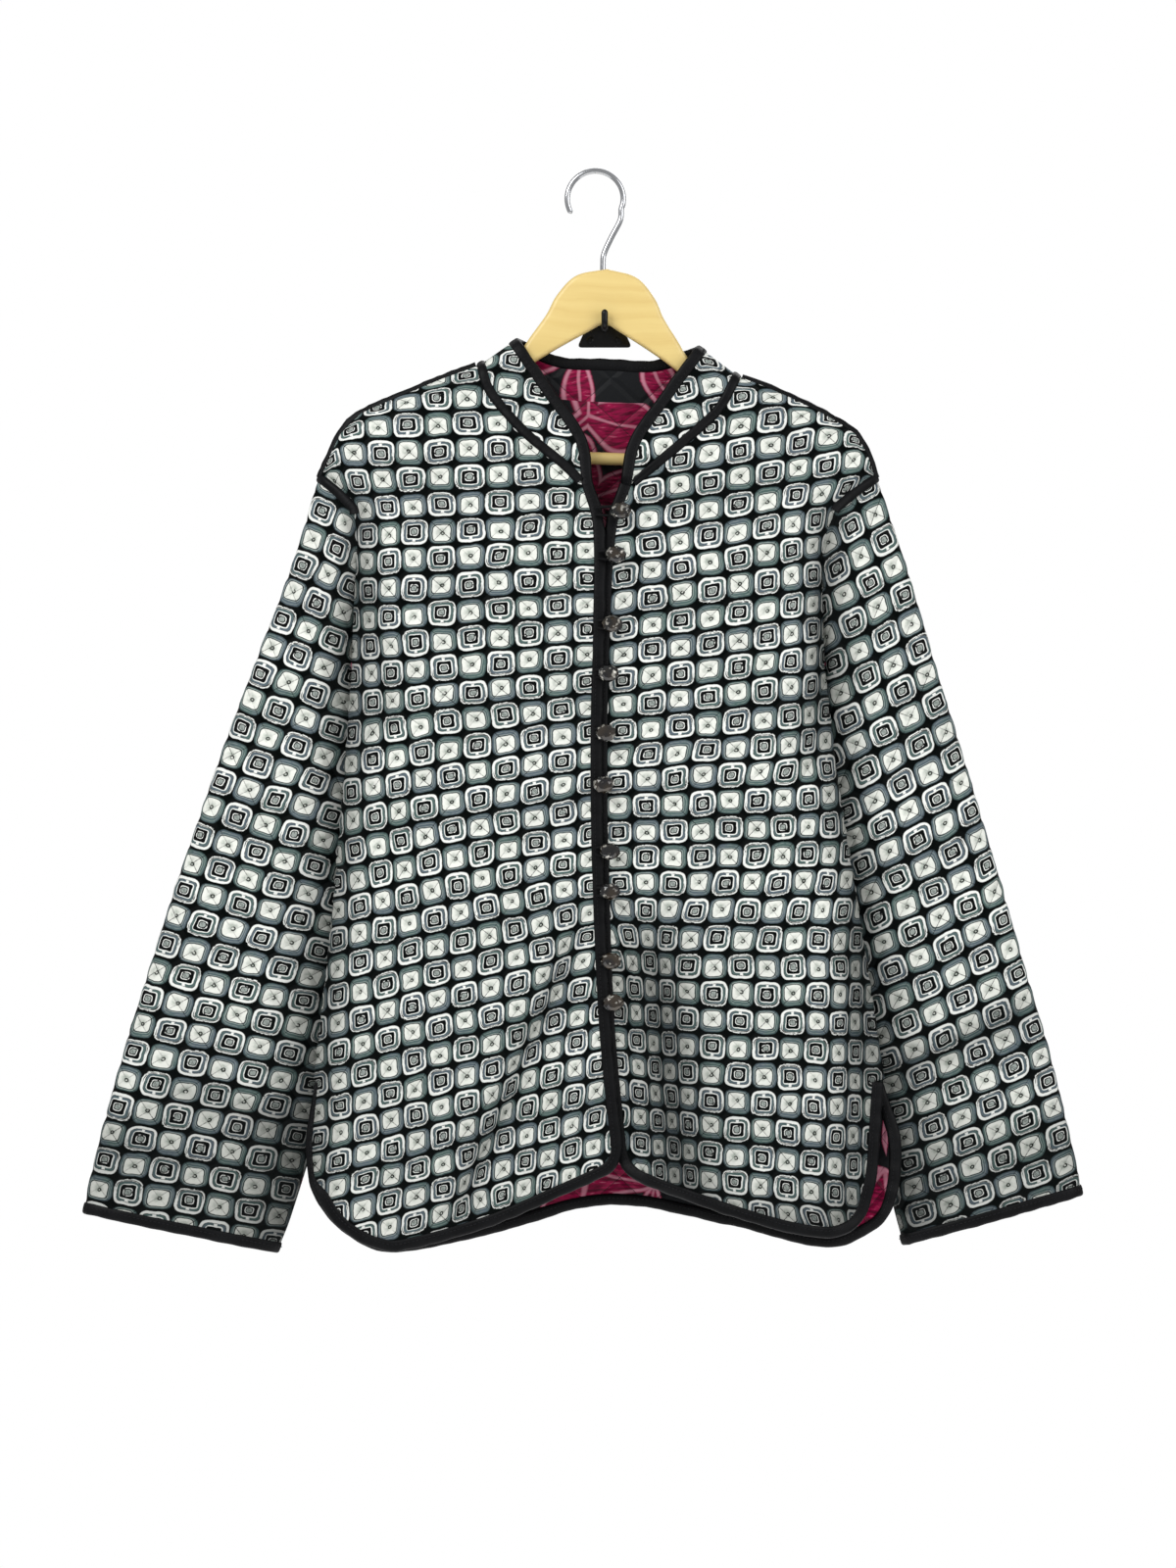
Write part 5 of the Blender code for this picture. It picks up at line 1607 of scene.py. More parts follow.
@dataclass
class Jacket:
    """The jacket: quilted panels, bindings, seam tapes, cord loops and buttons."""

    fold_look: float = 40.0
    cuff_clear: float = 15.0
    collar_turn: float = 11.0
    binding_proud: float = 1.1
    binding_lap: float = 1.3
    pucker: float = 0.21
    nose_pucker: float = 0.3
    tape_half: float = 3.9
    tape_thick: float = 1.7
    tape_pucker: float = 0.14
    tape_lift: float = 0.5
    tape_sunk: float = 0.8
    shoulder_thick: float = 2.4
    tape_trim: float = 5.0
    arm_tape_reach: float = 46.0
    cord: float = 1.15
    loop: float = 3.7
    loop_root: float = 6.5
    loop_span: float = 21.0
    loop_lift: float = 1.1
    button_wide: float = 16.5
    button_tall: float = 14.0
    shank: float = 1.8
    shank_clear: float = 3.6
    shank_lift: float = 1.1
    head_gap: float = 0.3
    button_sides: int = 9
    stitch_pitch: float = 3.4
    stitch_size: float = 0.42
    stitch_inset: float = 0.65
    pieces: dict[str, bpy.types.Object] = field(default_factory=dict)

    def build(self) -> None:
        """Cut the panels and sew on the trim."""
        self.pattern = Pattern()
        self.print = QuiltedPrint().material()
        self.lining = PetalLining().material()
        self.satin = BlackSatin("black_binding").material()
        self.cord_satin = BlackSatin("black_cord", ribs=1500.0).material()
        self.thread = BlackSatin("binding_thread", colour=(0.01, 0.01, 0.012)).material()
        self.glass = SmokyGlass().material()
        self.cut()
        self.sew_bindings()
        self.sew_tapes()
        self.fasten()

    def cut(self) -> None:
        """Cut every panel and give it its wall."""
        pattern = self.pattern
        self.sheets: dict[str, Sheet] = {}
        self.cuffs: dict[Side, tuple[Array, Array]] = {}
        for side in Side:
            self.cut_front(side)
            self.cut_sleeve(side)
        seams, arms = pattern.side_seam, pattern.arm_back
        left, right = Side.LEFT, Side.RIGHT
        ridge_down, ridge_up = pattern.ridge[left][::-1], pattern.ridge[right]
        seam_up, seam_down = seams[left][::-1], seams[right]
        outline = np.vstack([pattern.back_in, seam_up, arms[left][::-1][1:], ridge_down[1:],
                             pattern.back_seam[::-1][1:], ridge_up[1:], arms[right][1:], seam_down[1:]])
        back = Sheet("back")
        back.add_patch(outline, DRAPE.back, Spread.back, DRAPE.back_shade, False,
                       [ridge_down, ridge_up, seam_up, seam_down])
        self.sheets["back"] = back
        self.cut_collar()
        for sheet in self.sheets.values():
            sheet.finish()
        share_seams(list(self.sheets.values()))
        for name, sheet in self.sheets.items():
            self.pieces[name] = sheet.wall(self.print, self.lining)
            log.info("%s: %d points", name, len(sheet.spots))

    def cut_front(self, side: Side) -> None:
        """Cut one front, from the collar seam down its edge, hem and side and up the armhole."""
        pattern = self.pattern
        outline = np.vstack([pattern.edge_in[side], pattern.side_seam[side][::-1],
                             pattern.arm_front[side][::-1][1:], pattern.ridge[side][::-1][1:],
                             pattern.collar_seam[side][1:-1]])
        sheet = Sheet("front_" + side.key)
        depth = DRAPE.front if side is Side.RIGHT else DRAPE.lapped
        sheet.add_patch(outline, depth, Spread.front(side), DRAPE.front_shade(side), True,
                        [pattern.ridge[side][::-1], pattern.side_seam[side][::-1]])
        self.sheets[sheet.name] = sheet

    def cut_sleeve(self, side: Side) -> None:
        """Cut a sleeve: its front and back between the outer and inner folds."""
        rows = SLEEVES[side]
        cuff = [np.array(corner, float) for corner in CUFFS[side]]
        folds = []
        for column, corner in zip(("outer", "inner"), cuff):
            level = corner[1] + self.fold_look
            top = np.array([at_level(rows, level, column), level])
            folds.append(corner + unit(top - corner) * Pattern.binding)
        step = CLOTH.edge_step
        floors = [fold[1] + self.cuff_clear for fold in folds]
        outer = [(row.outer, DRAPE.sleeve_y, row.level) for row in rows if row.level > floors[0]]
        outer = smooth_path(outer + [(folds[0][0], DRAPE.sleeve_y, folds[0][1])], step)
        inner = [(row.inner, row.depth, row.level) for row in rows if floors[1] < row.level <= UNDERARM]
        inner = smooth_path(inner + [(folds[1][0], rows[-1].depth, folds[1][1])], step)
        mouth = even_path(np.array([folds[1], folds[0]]), step)
        share = np.linspace(0, 1, len(mouth))[:, None]
        mouth_out = cuff[1] * (1 - share) + cuff[0] * share
        sheet = Sheet("sleeve_" + side.key, Spread.sleeve_stretch)
        rims = {}
        arms = {Face.FRONT: self.pattern.arm_front[side], Face.BACK: self.pattern.arm_back[side]}
        for face, arm in arms.items():
            depth = DRAPE.sleeve(side, face)
            rim = Pattern.laid(mouth, depth)
            rim[0], rim[-1] = inner[-1], outer[-1]
            outline = np.vstack([arm, inner[1:], rim[1:], outer[::-1][1:-1]])
            sheet.add_patch(outline, depth, Spread.sleeve(side, face), DRAPE.sleeve_shade(side),
                            face is Face.FRONT, [inner, outer[::-1]], [outer[1:-1]])
            rims[face] = rim
        self.cuffs[side] = (np.vstack([rims[Face.FRONT], rims[Face.BACK][::-1][1:-1]]),
                            np.vstack([mouth_out, mouth_out[::-1][1:-1]]))
        self.sheets[sheet.name] = sheet

    def cut_collar(self) -> None:
        """Cut the collar: a crescent on each front and a band across the back."""
        pattern = self.pattern
        sheet = Sheet("collar")
        for side in Side:
            outline = np.vstack([pattern.collar_seam[side], pattern.neck_in[side][::-1][1:],
                                 pattern.neck_side[side][-2:0:-1]])
            spread = Spread.collar(side.value * self.collar_turn)
            sheet.add_patch(outline, DRAPE.front, spread, DRAPE.front_shade(side), True,
                            [pattern.neck_side[side][::-1]])
        left, right = pattern.neck_side[Side.LEFT], pattern.neck_side[Side.RIGHT]
        outline = np.vstack([pattern.back_seam, left[1:-1], pattern.back_neck_in[::-1], right[-2:0:-1]])
        sheet.add_patch(outline, DRAPE.back, Spread.collar(0), DRAPE.back_shade, False, [left, right[::-1]])
        self.sheets["collar"] = sheet

    def binding_rings(self, inner: Array, outer: Array, sheet: Sheet, seed: int) -> Array:
        """Sections of a binding, folded over a panel's edge.

        Args:
            inner: Path of the panel's edge.
            outer: Path of the garment's edge in the front view.
            sheet: The panel.
            seed: Choice of the binding's puckers.

        Returns:
            The sections' corners.
        """
        wide, proud, lap, wall = Pattern.binding, self.binding_proud, self.binding_lap, CLOTH.wall
        middle = -wall / 2
        half = wall / 2 + proud
        bow = np.radians(np.linspace(90, -90, 7))
        top = [(-lap, 0.2), (-lap * 0.6, proud * 0.75), (0.6, proud * 1.08), (wide * 0.35, proud * 1.15)]
        nose = [(wide - half * 0.9 + half * 0.9 * math.cos(a), middle + half * math.sin(a)) for a in bow]
        under = [(a, 2 * middle - b) for a, b in top[::-1]]
        section = np.array(top + nose + under)
        reach = path_reach(inner)
        crimp = ripple(reach, reach * 0, 11, seed)
        crimp_two = ripple(reach, reach * 0, 17, seed + 50)
        rings = []
        for k, (place, edge) in enumerate(zip(inner, outer)):
            out = np.array([edge[0] - place[0], 0, edge[1] - place[2]])
            length = np.linalg.norm(out)
            out = out / length
            normal = sheet.normals[sheet.places[Sheet.key(place)]]
            normal = unit(normal - out * normal.dot(out))
            across = section[:, 0] * np.where(section[:, 0] > 0, length / wide, 1)
            across = across + np.where(section[:, 0] > wide * 0.6, self.nose_pucker * crimp_two[k], 0)
            height = section[:, 1] + self.pucker * crimp[k] * np.clip(section[:, 1] - middle, -1, 1)
            rings.append(place + np.outer(across, out) + np.outer(height, normal))
        return np.array(rings)

    def sew_bindings(self) -> None:
        """Sew a binding to every open edge, with its row of stitches."""
        pattern = self.pattern
        jobs = []
        for number, side in enumerate(Side):
            jobs.append(("front_binding_" + side.key, pattern.edge_in[side], pattern.edge_out[side],
                         "front_" + side.key, False, 3 + number))
            jobs.append(("cuff_binding_" + side.key, *self.cuffs[side], "sleeve_" + side.key, True,
                         7 + number))
        jobs.append(("back_binding", pattern.back_in, pattern.back_out, "back", False, 11))
        halves = ((pattern.neck_in, pattern.back_neck_in), (pattern.neck_out, pattern.back_neck_out))
        neck = [np.vstack([front[Side.RIGHT][::-1], back[1:-1], front[Side.LEFT]]) for front, back in halves]
        jobs.append(("neck_binding", *neck, "collar", False, 12))
        for name, inner, outer, panel, closed, seed in jobs:
            rings = self.binding_rings(inner, outer, self.sheets[panel], seed)
            self.pieces[name] = add_strip(name, rings, closed, self.satin)
            near, far = 1 - self.stitch_inset, self.stitch_inset
            lines = [rings[:, 2] * near + rings[:, 3] * far, rings[:, -3] * near + rings[:, -4] * far]
            row = StitchRow(self.stitch_pitch, self.stitch_size)
            self.pieces[name + "_stitches"] = row.sew(name + "_stitches", lines, self.thread)
            log.info("%s: %d sections", name, len(rings))

    def seam_frame(self, place: Array, run: Array,
                   names: Sequence[str]) -> tuple[Array, Array]:
        """Normal and inward direction of the panels on one side of a seam.

        Args:
            place: A point of the seam.
            run: The seam's direction there.
            names: The panels on that side.

        Returns:
            The normal, and the direction away from the seam along the cloth.
        """
        key = Sheet.key(place)
        found = [(self.sheets[name], self.sheets[name].places[key]) for name in names
                 if key in self.sheets[name].places]
        normal = sum(sheet.normals[k] for sheet, k in found)
        inward = sum(sheet.inward[k] for sheet, k in found)
        normal = unit(normal - run * normal.dot(run))
        across = np.cross(run, normal)
        return normal, across if across.dot(inward) > 0 else -across

    def tape_rings(self, path: Array, first: Sequence[str], second: Sequence[str], thick: float,
                   seed: int) -> Array:
        """Sections of a rounded tape that lies over a seam.

        Args:
            path: The seam.
            first: Panels on one side.
            second: Panels on the other side.
            thick: Height of the tape's crown.
            seed: Choice of the tape's puckers.

        Returns:
            The sections' corners.
        """
        reach = path_reach(path)
        crimp = ripple(reach, reach * 0, 12, seed)
        runs = unit(np.gradient(path, axis=0))
        frames = []
        for place, run in zip(path, runs):
            one, reach_one = self.seam_frame(place, run, first)
            two, reach_two = self.seam_frame(place, run, second)
            frames.append(np.concatenate([one, reach_one, two, reach_two]))
        frames = np.array(frames)
        for _ in range(3):
            frames[1:-1] = (frames[:-2] + 2 * frames[1:-1] + frames[2:]) / 4
        half = self.tape_half
        shares = np.linspace(-1, 1, 9)
        rings = []
        for k, place in enumerate(path):
            one, reach_one, two, reach_two = frames[k].reshape(4, 3)
            middle = unit(one + two)
            top, low = [], []
            for share in shares:
                side, up = (reach_one, one) if share < 0 else (reach_two, two)
                up = up * abs(share) + middle * (1 - abs(share))
                seat = place + side * abs(share) * half
                crown = thick * (1 - share ** 4) * (1 + self.tape_pucker * crimp[k])
                top.append(seat + up * (self.tape_lift + crown))
                low.append(seat - up * self.tape_sunk)
            rings.append(top + low[::-4])
        return np.array(rings)

    def sew_tapes(self) -> None:
        """Sew the tapes over the collar, shoulder and armhole seams."""
        pattern = self.pattern
        body = ["front_right", "front_left", "back"]
        path = np.vstack([pattern.collar_seam[Side.RIGHT][::-1], pattern.back_seam[1:-1],
                          pattern.collar_seam[Side.LEFT]])
        trim = round(self.tape_trim / CLOTH.edge_step)
        rings = self.tape_rings(path, ["collar"], body, self.tape_thick, 21)[trim:-trim]
        self.pieces["collar_tape"] = add_strip("collar_tape", rings, False, self.satin)
        for side in Side:
            front = "front_" + side.key
            rings = self.tape_rings(pattern.ridge[side], [front], ["back"], self.shoulder_thick,
                                    23 + side.value)
            name = "shoulder_tape_" + side.key
            self.pieces[name] = add_strip(name, rings[1:], False, self.satin)
            shown = round(self.arm_tape_reach / CLOTH.edge_step)
            path = np.vstack([pattern.arm_front[side][shown::-1], pattern.arm_back[side][1:-2]])
            rings = self.tape_rings(path, [front, "back"], ["sleeve_" + side.key], self.tape_thick,
                                    27 + side.value)
            name = "armhole_tape_" + side.key
            self.pieces[name] = add_strip(name, rings, False, self.satin)

    def fasten(self) -> None:
        """Lay the cord loops on the right front's edge and set the buttons in them."""
        edge_line = self.pattern.edge_out[Side.RIGHT]
        for number, spot in enumerate(BUTTONS, 1):
            edge = float(np.interp(-spot.z, -edge_line[:, 1], edge_line[:, 0]))
            shank = max(spot.x, edge + self.shank_clear)
            levels = spot.z + np.array([-1, 0, 1]) * self.loop_span
            reach = np.full(3, edge - Pattern.binding)
            loop_y = float(DRAPE.front(reach, levels).min()) - self.loop_lift - self.cord
            self.add_loop(number, spot, edge, shank, loop_y)
            cloth = float(DRAPE.lapped(np.array([shank]), np.array([spot.z]))[0]) - self.shank_lift
            self.add_button(number, spot, shank, cloth, loop_y - self.cord - self.head_gap)

    def add_loop(self, number: int, spot: Point, edge: float, shank: float, level: float) -> None:
        """Lay one cord loop.

        Args:
            number: The loop's number from the top.
            spot: Middle of its button.
            edge: Place of the right front's edge.
            shank: Place of the button's shank.
            level: Depth of the cord.
        """
        turns = np.radians(np.linspace(90, -90, 15))
        bend = [(shank + self.loop * math.cos(a), level, spot.z + self.loop * math.sin(a)) for a in turns]
        root = edge - self.loop_root
        middle = (root + shank) / 2
        rise = self.loop
        route = [(root, level + 0.4, spot.z + rise * 0.7), (middle, level, spot.z + rise * 0.95), *bend,
                 (middle, level, spot.z - rise * 0.95), (root, level + 0.4, spot.z - rise * 0.7)]
        path = smooth_path(route, 0.9)
        twist = 1 + 0.1 * np.sin(path_reach(path) * math.tau / 1.8)
        rings = tube_rings(path, self.cord * twist, 9)
        name = f"loop_{number}"
        self.pieces[name] = add_strip(name, rings, False, self.cord_satin)

    def add_button(self, number: int, spot: Point, shank: float, cloth: float, head: float) -> None:
        """Set one faceted button on its shank.

        Args:
            number: The button's number from the top.
            spot: Middle of the button.
            shank: Place of its shank.
            cloth: Depth of the shank's foot.
            head: Depth of the back of its head.
        """
        chance = np.random.default_rng(100 + number)
        lean = chance.uniform(-0.35, 0.35)
        wide, tall = self.button_wide / 2, self.button_tall / 2
        rows = [(level, shank, self.shank, self.shank, 0.0) for level in (cloth, head)]
        rows += [(head - facet.forward, spot.x, facet.size * wide, facet.size * tall, facet.turn)
                 for facet in FACETS]
        sides = self.button_sides
        bm = bmesh.new()
        rings = []
        for y, x, across, up, shift in rows:
            turns = (np.arange(sides) + shift) * math.tau / sides + lean
            wobble = 1 + chance.uniform(-0.05, 0.05, sides) * (across > self.shank)
            rings.append([bm.verts.new((x + across * w * math.cos(a), y, spot.z + up * w * math.sin(a)))
                          for a, w in zip(turns, wobble)])
        for low, high, row, after in zip(rings, rings[1:], rows, rows[1:]):
            turn = 1 if after[4] < row[4] else 0
            for k in range(sides):
                a, b = low[k], low[(k + 1) % sides]
                c, d = high[(k + turn) % sides], high[(k + 1 + turn) % sides]
                if row[4] == after[4]:
                    bm.faces.new((a, b, d, c))
                else:
                    bm.faces.new((a, b, c))
                    bm.faces.new((b, d, c))
        bm.faces.new(rings[0])
        bm.faces.new(rings[-1])
        name = f"button_{number}"
        self.pieces[name] = add_bmesh(name, bm, self.glass, 0)

    def dress(self) -> None:
        slots = {"button": "smoky_button", "loop": "black_cord"}
        for name, piece in self.pieces.items():
            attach(piece, BODY)
            slots.get(name.split("_")[0], "black_binding")
            if not name.endswith("_stitches"):
                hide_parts(name)
        trims = {"front_right": ["front_binding_right"], "front_left": ["front_binding_left"],
                 "back": ["back_binding"], "collar": ["neck_binding"],
                 "sleeve_right": ["cuff_binding_right"], "sleeve_left": ["cuff_binding_left"]}
        for name, sheet in self.sheets.items():
            piece = self.pieces[name]
            wide, long = sheet.flat_size()
            area = min(sheet.area * MM * MM, wide * long)
            with_pieces = [self.pieces[trim] for trim in trims[name]]
            with_pieces += [self.pieces[trim + "_stitches"] for trim in trims[name]]
            rest = ["hanger_wood"] if name != "collar" else ["back"]
            log.info("%s: cut %.3f x %.3f m, %.4f square metres", name, wide, long, area)


@dataclass(frozen=True)
class StitchRow:
    """Rows of short stitches along paths, placed by a node tree."""

    pitch: float
    size: float
    half_length: float = 0.4

    def tree(self, finish: Material) -> bpy.types.NodeTree:
        """Build the node tree that sets a thread on every step of a curve.

        Args:
            finish: The thread's material.

        Returns:
            The tree, with inputs for the pitch and the thread's size.
        """
        tree = bpy.data.node_groups.new("stitch_row", "GeometryNodeTree")
        face = tree.interface
        face.new_socket("Rows", in_out="INPUT", socket_type="NodeSocketGeometry")
        for name in ("Pitch", "Thread size"):
            face.new_socket(name, in_out="INPUT", socket_type="NodeSocketFloat")
        face.new_socket("Stitches", in_out="OUTPUT", socket_type="NodeSocketGeometry")
        nodes = tree.nodes
        start, end = nodes.new("NodeGroupInput"), nodes.new("NodeGroupOutput")
        points = nodes.new("GeometryNodeCurveToPoints")
        points.mode = "LENGTH"
        thread = nodes.new("GeometryNodeMeshIcoSphere")
        thread.inputs["Subdivisions"].default_value = 1
        shape = nodes.new("GeometryNodeTransform")
        combine = nodes.new("ShaderNodeCombineXYZ")
        half = nodes.new("ShaderNodeMath")
        half.operation = "MULTIPLY"
        half.inputs[1].default_value = self.half_length
        place = nodes.new("GeometryNodeInstanceOnPoints")
        real = nodes.new("GeometryNodeRealizeInstances")
        paint = nodes.new("GeometryNodeSetMaterial")
        paint.inputs["Material"].default_value = finish
        joins = [
            (start, "Rows", points, "Curve"),
            (start, "Pitch", points, "Length"),
            (start, "Pitch", half, 0),
            (start, "Thread size", combine, 0),
            (start, "Thread size", combine, 1),
            (half, 0, combine, 2),
            (thread, "Mesh", shape, "Geometry"),
            (combine, 0, shape, "Scale"),
            (points, "Points", place, "Points"),
            (points, "Rotation", place, "Rotation"),
            (shape, "Geometry", place, "Instance"),
            (place, "Instances", real, "Geometry"),
            (real, "Geometry", paint, "Geometry"),
            (paint, "Geometry", end, "Stitches"),
        ]
        for source, given, target, taken in joins:
            tree.links.new(source.outputs[given], target.inputs[taken])
        return tree

    def sew(self, name: str, lines: Sequence[Array], finish: Material) -> bpy.types.Object:
        """Sew stitches along lines.

        Args:
            name: The object's name.
            lines: Paths in millimetres.
            finish: The thread's material.

        Returns:
            One plain mesh object with every stitch.
        """
        data = bpy.data.curves.new(name + "_rows", "CURVE")
        data.dimensions = "3D"
        for line in lines:
            spline = data.splines.new("POLY")
            spline.points.add(len(line) - 1)
            flat = np.column_stack([line * MM, np.ones(len(line))])
            spline.points.foreach_set("co", flat.ravel())
        rows = bpy.data.objects.new(name + "_rows", data)
        bpy.context.scene.collection.objects.link(rows)
        modifier = rows.modifiers.new("stitches", "NODES")
        modifier.node_group = self.tree(finish)
        sizes = {"Pitch": self.pitch * MM, "Thread size": self.size * MM}
        for item in modifier.node_group.interface.items_tree:
            if item.name in sizes:
                modifier[item.identifier] = sizes[item.name]
        bpy.context.view_layer.update()
        evaluated = rows.evaluated_get(bpy.context.evaluated_depsgraph_get())
        mesh = bpy.data.meshes.new_from_object(evaluated)
        mesh.name = name
        rows.modifiers.remove(modifier)
        bpy.data.objects.remove(rows)
        mesh.shade_smooth()
        return add_object(name, mesh)


@dataclass
class Hanger:
    """The wooden hanger: shaped arms, bar and wire hook."""

    level_y: float = -20.0
    thick: float = 12.6
    rounded: float = 3.6
    tilt: float = 2.0
    notch: float = 5.5
    top: tuple[Point, ...] = (
        Point(0, 49), Point(24, 43), Point(39, 27), Point(47, 11), Point(59, -7), Point(66, -18),
        Point(76, -29), Point(99, -45), Point(130, -55), Point(161, -65.7), Point(188, -79.7),
        Point(198, -94))
    foot: tuple[Point, ...] = (Point(198, -106), Point(192, -112), Point(171, -112), Point(171, -95))
    under: tuple[Point, ...] = (
        Point(160, -92), Point(130, -80), Point(99, -64), Point(54, -27), Point(5, 3.5))
    bar_radius: float = 5.0
    bar_level: float = -102.5
    bar_reach: float = 170.7
    wire: float = 2.3
    hook_centre: Point = Point(-7.4, 105.3)
    hook_radius: float = 22.4
    hook_turn: tuple[float, float] = (212.0, -22.0)
    stem: tuple[Point, ...] = (
        Point(12.5, 88), Point(5, 73.5), Point(-0.5, 61), Point(-1.3, 52), Point(-1.3, 47))
    pieces: dict[str, bpy.types.Object] = field(default_factory=dict)

    def build(self) -> None:
        """Shape the wood, the bar and the wire."""
        wood = PaleWood().material()
        self.shape_wood(wood)
        self.turn_bar(wood)
        self.bend_hook(ChromeWire().material())

    def tilted(self, points: Array) -> Array:
        """Places turned with the hanger about the wall hook."""
        cos, sin = math.cos(math.radians(self.tilt)), math.sin(math.radians(self.tilt))
        x, y, z = points[..., 0], points[..., 1], points[..., 2]
        return np.stack([x * cos + z * sin, y + self.level_y, z * cos - x * sin], axis=-1)

    def shape_wood(self, wood: Material) -> None:
        """Cut the arms to their outline and round their edges."""
        top = smooth_path(self.top, 3.0)
        foot = even_path(np.vstack([top[-1], smooth_path(self.foot[:2], 2.0), *self.foot[2:]]), 3.0)
        under = smooth_path((self.foot[3], *self.under), 4.0)
        half = np.vstack([top, foot[1:], under[1:]])
        mirrored = half[::-1] * (-1, 1)
        outline = np.vstack([half, [(0, self.notch)], mirrored[:-1]])
        ring = np.vstack([outline[-1:], outline, outline[:1]])
        normals = path_normals(ring)[1:-1]
        rings = []
        for a in np.radians(np.linspace(-90, 90, 10)):
            flat = outline - normals * self.rounded * (1 - math.cos(a))
            depth = math.copysign(self.thick / 2 - self.rounded, a) + self.rounded * math.sin(a)
            rings.append(np.column_stack([flat[:, 0], np.full(len(flat), depth), flat[:, 1]]))
        bm = bmesh.new()
        bmesh.ops.triangulate(bm, faces=skin(bm, [self.tilted(ring) for ring in rings]))
        self.pieces["hanger_wood"] = add_bmesh("hanger_wood", bm, wood, 40)

    def turn_bar(self, wood: Material) -> None:
        """Turn the round bar between the arms."""
        places = np.linspace(-self.bar_reach, self.bar_reach, 12)
        path = np.array([(x, 0.0, self.bar_level) for x in places])
        rings = self.tilted(tube_rings(path, self.bar_radius, 24))
        self.pieces["hanger_bar"] = add_strip("hanger_bar", rings, False, wood)

    def bend_hook(self, chrome: Material) -> None:
        """Bend the wire hook, with a rounded tip."""
        turns = np.radians(np.linspace(*self.hook_turn, 24))
        centre, radius = self.hook_centre, self.hook_radius
        bend = [(centre.x + radius * math.cos(a), self.level_y, centre.z + radius * math.sin(a))
                for a in turns]
        route = bend + [(point.x, self.level_y, point.z) for point in self.stem]
        path = smooth_path(route, 1.6)
        reach = path_reach(path)
        size = self.wire * quarter(np.clip(reach / self.wire, 0.02, 1))
        rings = tube_rings(path, size, 16)
        self.pieces["hanger_hook"] = add_strip("hanger_hook", rings, False, chrome)

    def dress(self) -> None:
        """Tie the hanger's pieces to the frame."""
        for name, piece in self.pieces.items():
            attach(piece, BODY)
            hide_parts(name)
            log.info("%s: %d faces", name, len(piece.data.polygons))


@dataclass
class WallHook:
    """The black hook on the wall: a plate with a bent prong and two screws."""

    plate: tuple[Point, ...] = (Point(-22, -12.5), Point(22, -12.5), Point(6, 24), Point(-6, 24))
    thick: float = 3.0
    corner: float = 4.0
    edge: float = 0.7
    prong: float = 2.7
    level: float = 1.9
    reach: float = 33.0
    tip: float = 16.0
    screws: tuple[Point, ...] = (Point(-11.5, -6.5), Point(11.5, -6.5))
    screw_radius: float = 3.1
    screw_sides: int = 20
    screw_rows: tuple[tuple[float, float], ...] = (
        (-0.2, 1.0), (0.5, 1.0), (1.0, 0.8), (1.2, 0.5), (0.7, 0.42), (0.7, 0.05))
    sunk: float = 0.4

    def build(self) -> None:
        """Make the plate, the prong and the screws as one piece."""
        bm = bmesh.new()
        self.add_plate(bm)
        self.add_prong(bm)
        for spot in self.screws:
            self.add_screw(bm, spot)
        self.piece = add_bmesh("wall_hook", bm, BlackIron().material(), 35)

    def add_plate(self, bm: bmesh.types.BMesh) -> None:
        """Cut the rounded plate with an eased front edge."""
        ring = np.array(self.plate, float)
        loop = []
        for before, corner, after in zip(np.roll(ring, 1, 0), ring, np.roll(ring, -1, 0)):
            start = corner + unit(before - corner) * self.corner
            end = corner + unit(after - corner) * self.corner
            part = np.linspace(0, 1, 8)[:, None]
            loop.append((1 - part) ** 2 * start + 2 * part * (1 - part) * corner + part ** 2 * end)
        loop = np.vstack(loop)
        normals = path_normals(np.vstack([loop[-1:], loop, loop[:1]]))[1:-1]
        rows = [(0.0, 0.0), (-self.thick + self.edge, 0.0), (-self.thick + self.edge * 0.3, self.edge * 0.3),
                (-self.thick, self.edge)]
        skin(bm, [[(x, depth, z) for x, z in loop + normals * inset] for depth, inset in rows])

    def add_prong(self, bm: bmesh.types.BMesh) -> None:
        """Bend the prong up at its end and round its tip."""
        bend = self.prong * 2
        turns = np.radians(np.linspace(0, 90, 8))
        route = [(0, -self.thick + self.sunk, self.level)]
        route += [(0, -self.reach + bend * (1 - math.sin(a)), self.level + bend * (1 - math.cos(a)))
                  for a in turns]
        route.append((0, -self.reach, self.tip))
        path = even_path(np.array(route, float), 0.9)
        left = path_reach(path)[-1] - path_reach(path)
        size = self.prong * quarter(np.clip(left / self.prong, 0.04, 1))
        skin(bm, tube_rings(path, size, 14))

    def add_screw(self, bm: bmesh.types.BMesh, spot: Point) -> None:
        """Set a domed screw head with a raised rim on the plate."""
        turns = np.linspace(0, math.tau, self.screw_sides, endpoint=False)
        rings = []
        for height, share in self.screw_rows:
            radius = self.screw_radius * share
            rings.append([(spot.x + radius * math.cos(a), -self.thick - height, spot.z + radius * math.sin(a))
                          for a in turns])
        skin(bm, rings)

    def dress(self) -> None:
        """Tie the hook to the frame."""
        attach(self.piece, BODY)
        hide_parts("wall_hook")
        log.info("wall_hook: %d faces", len(self.piece.data.polygons))


Lamp = namedtuple("Lamp", "name place power size")


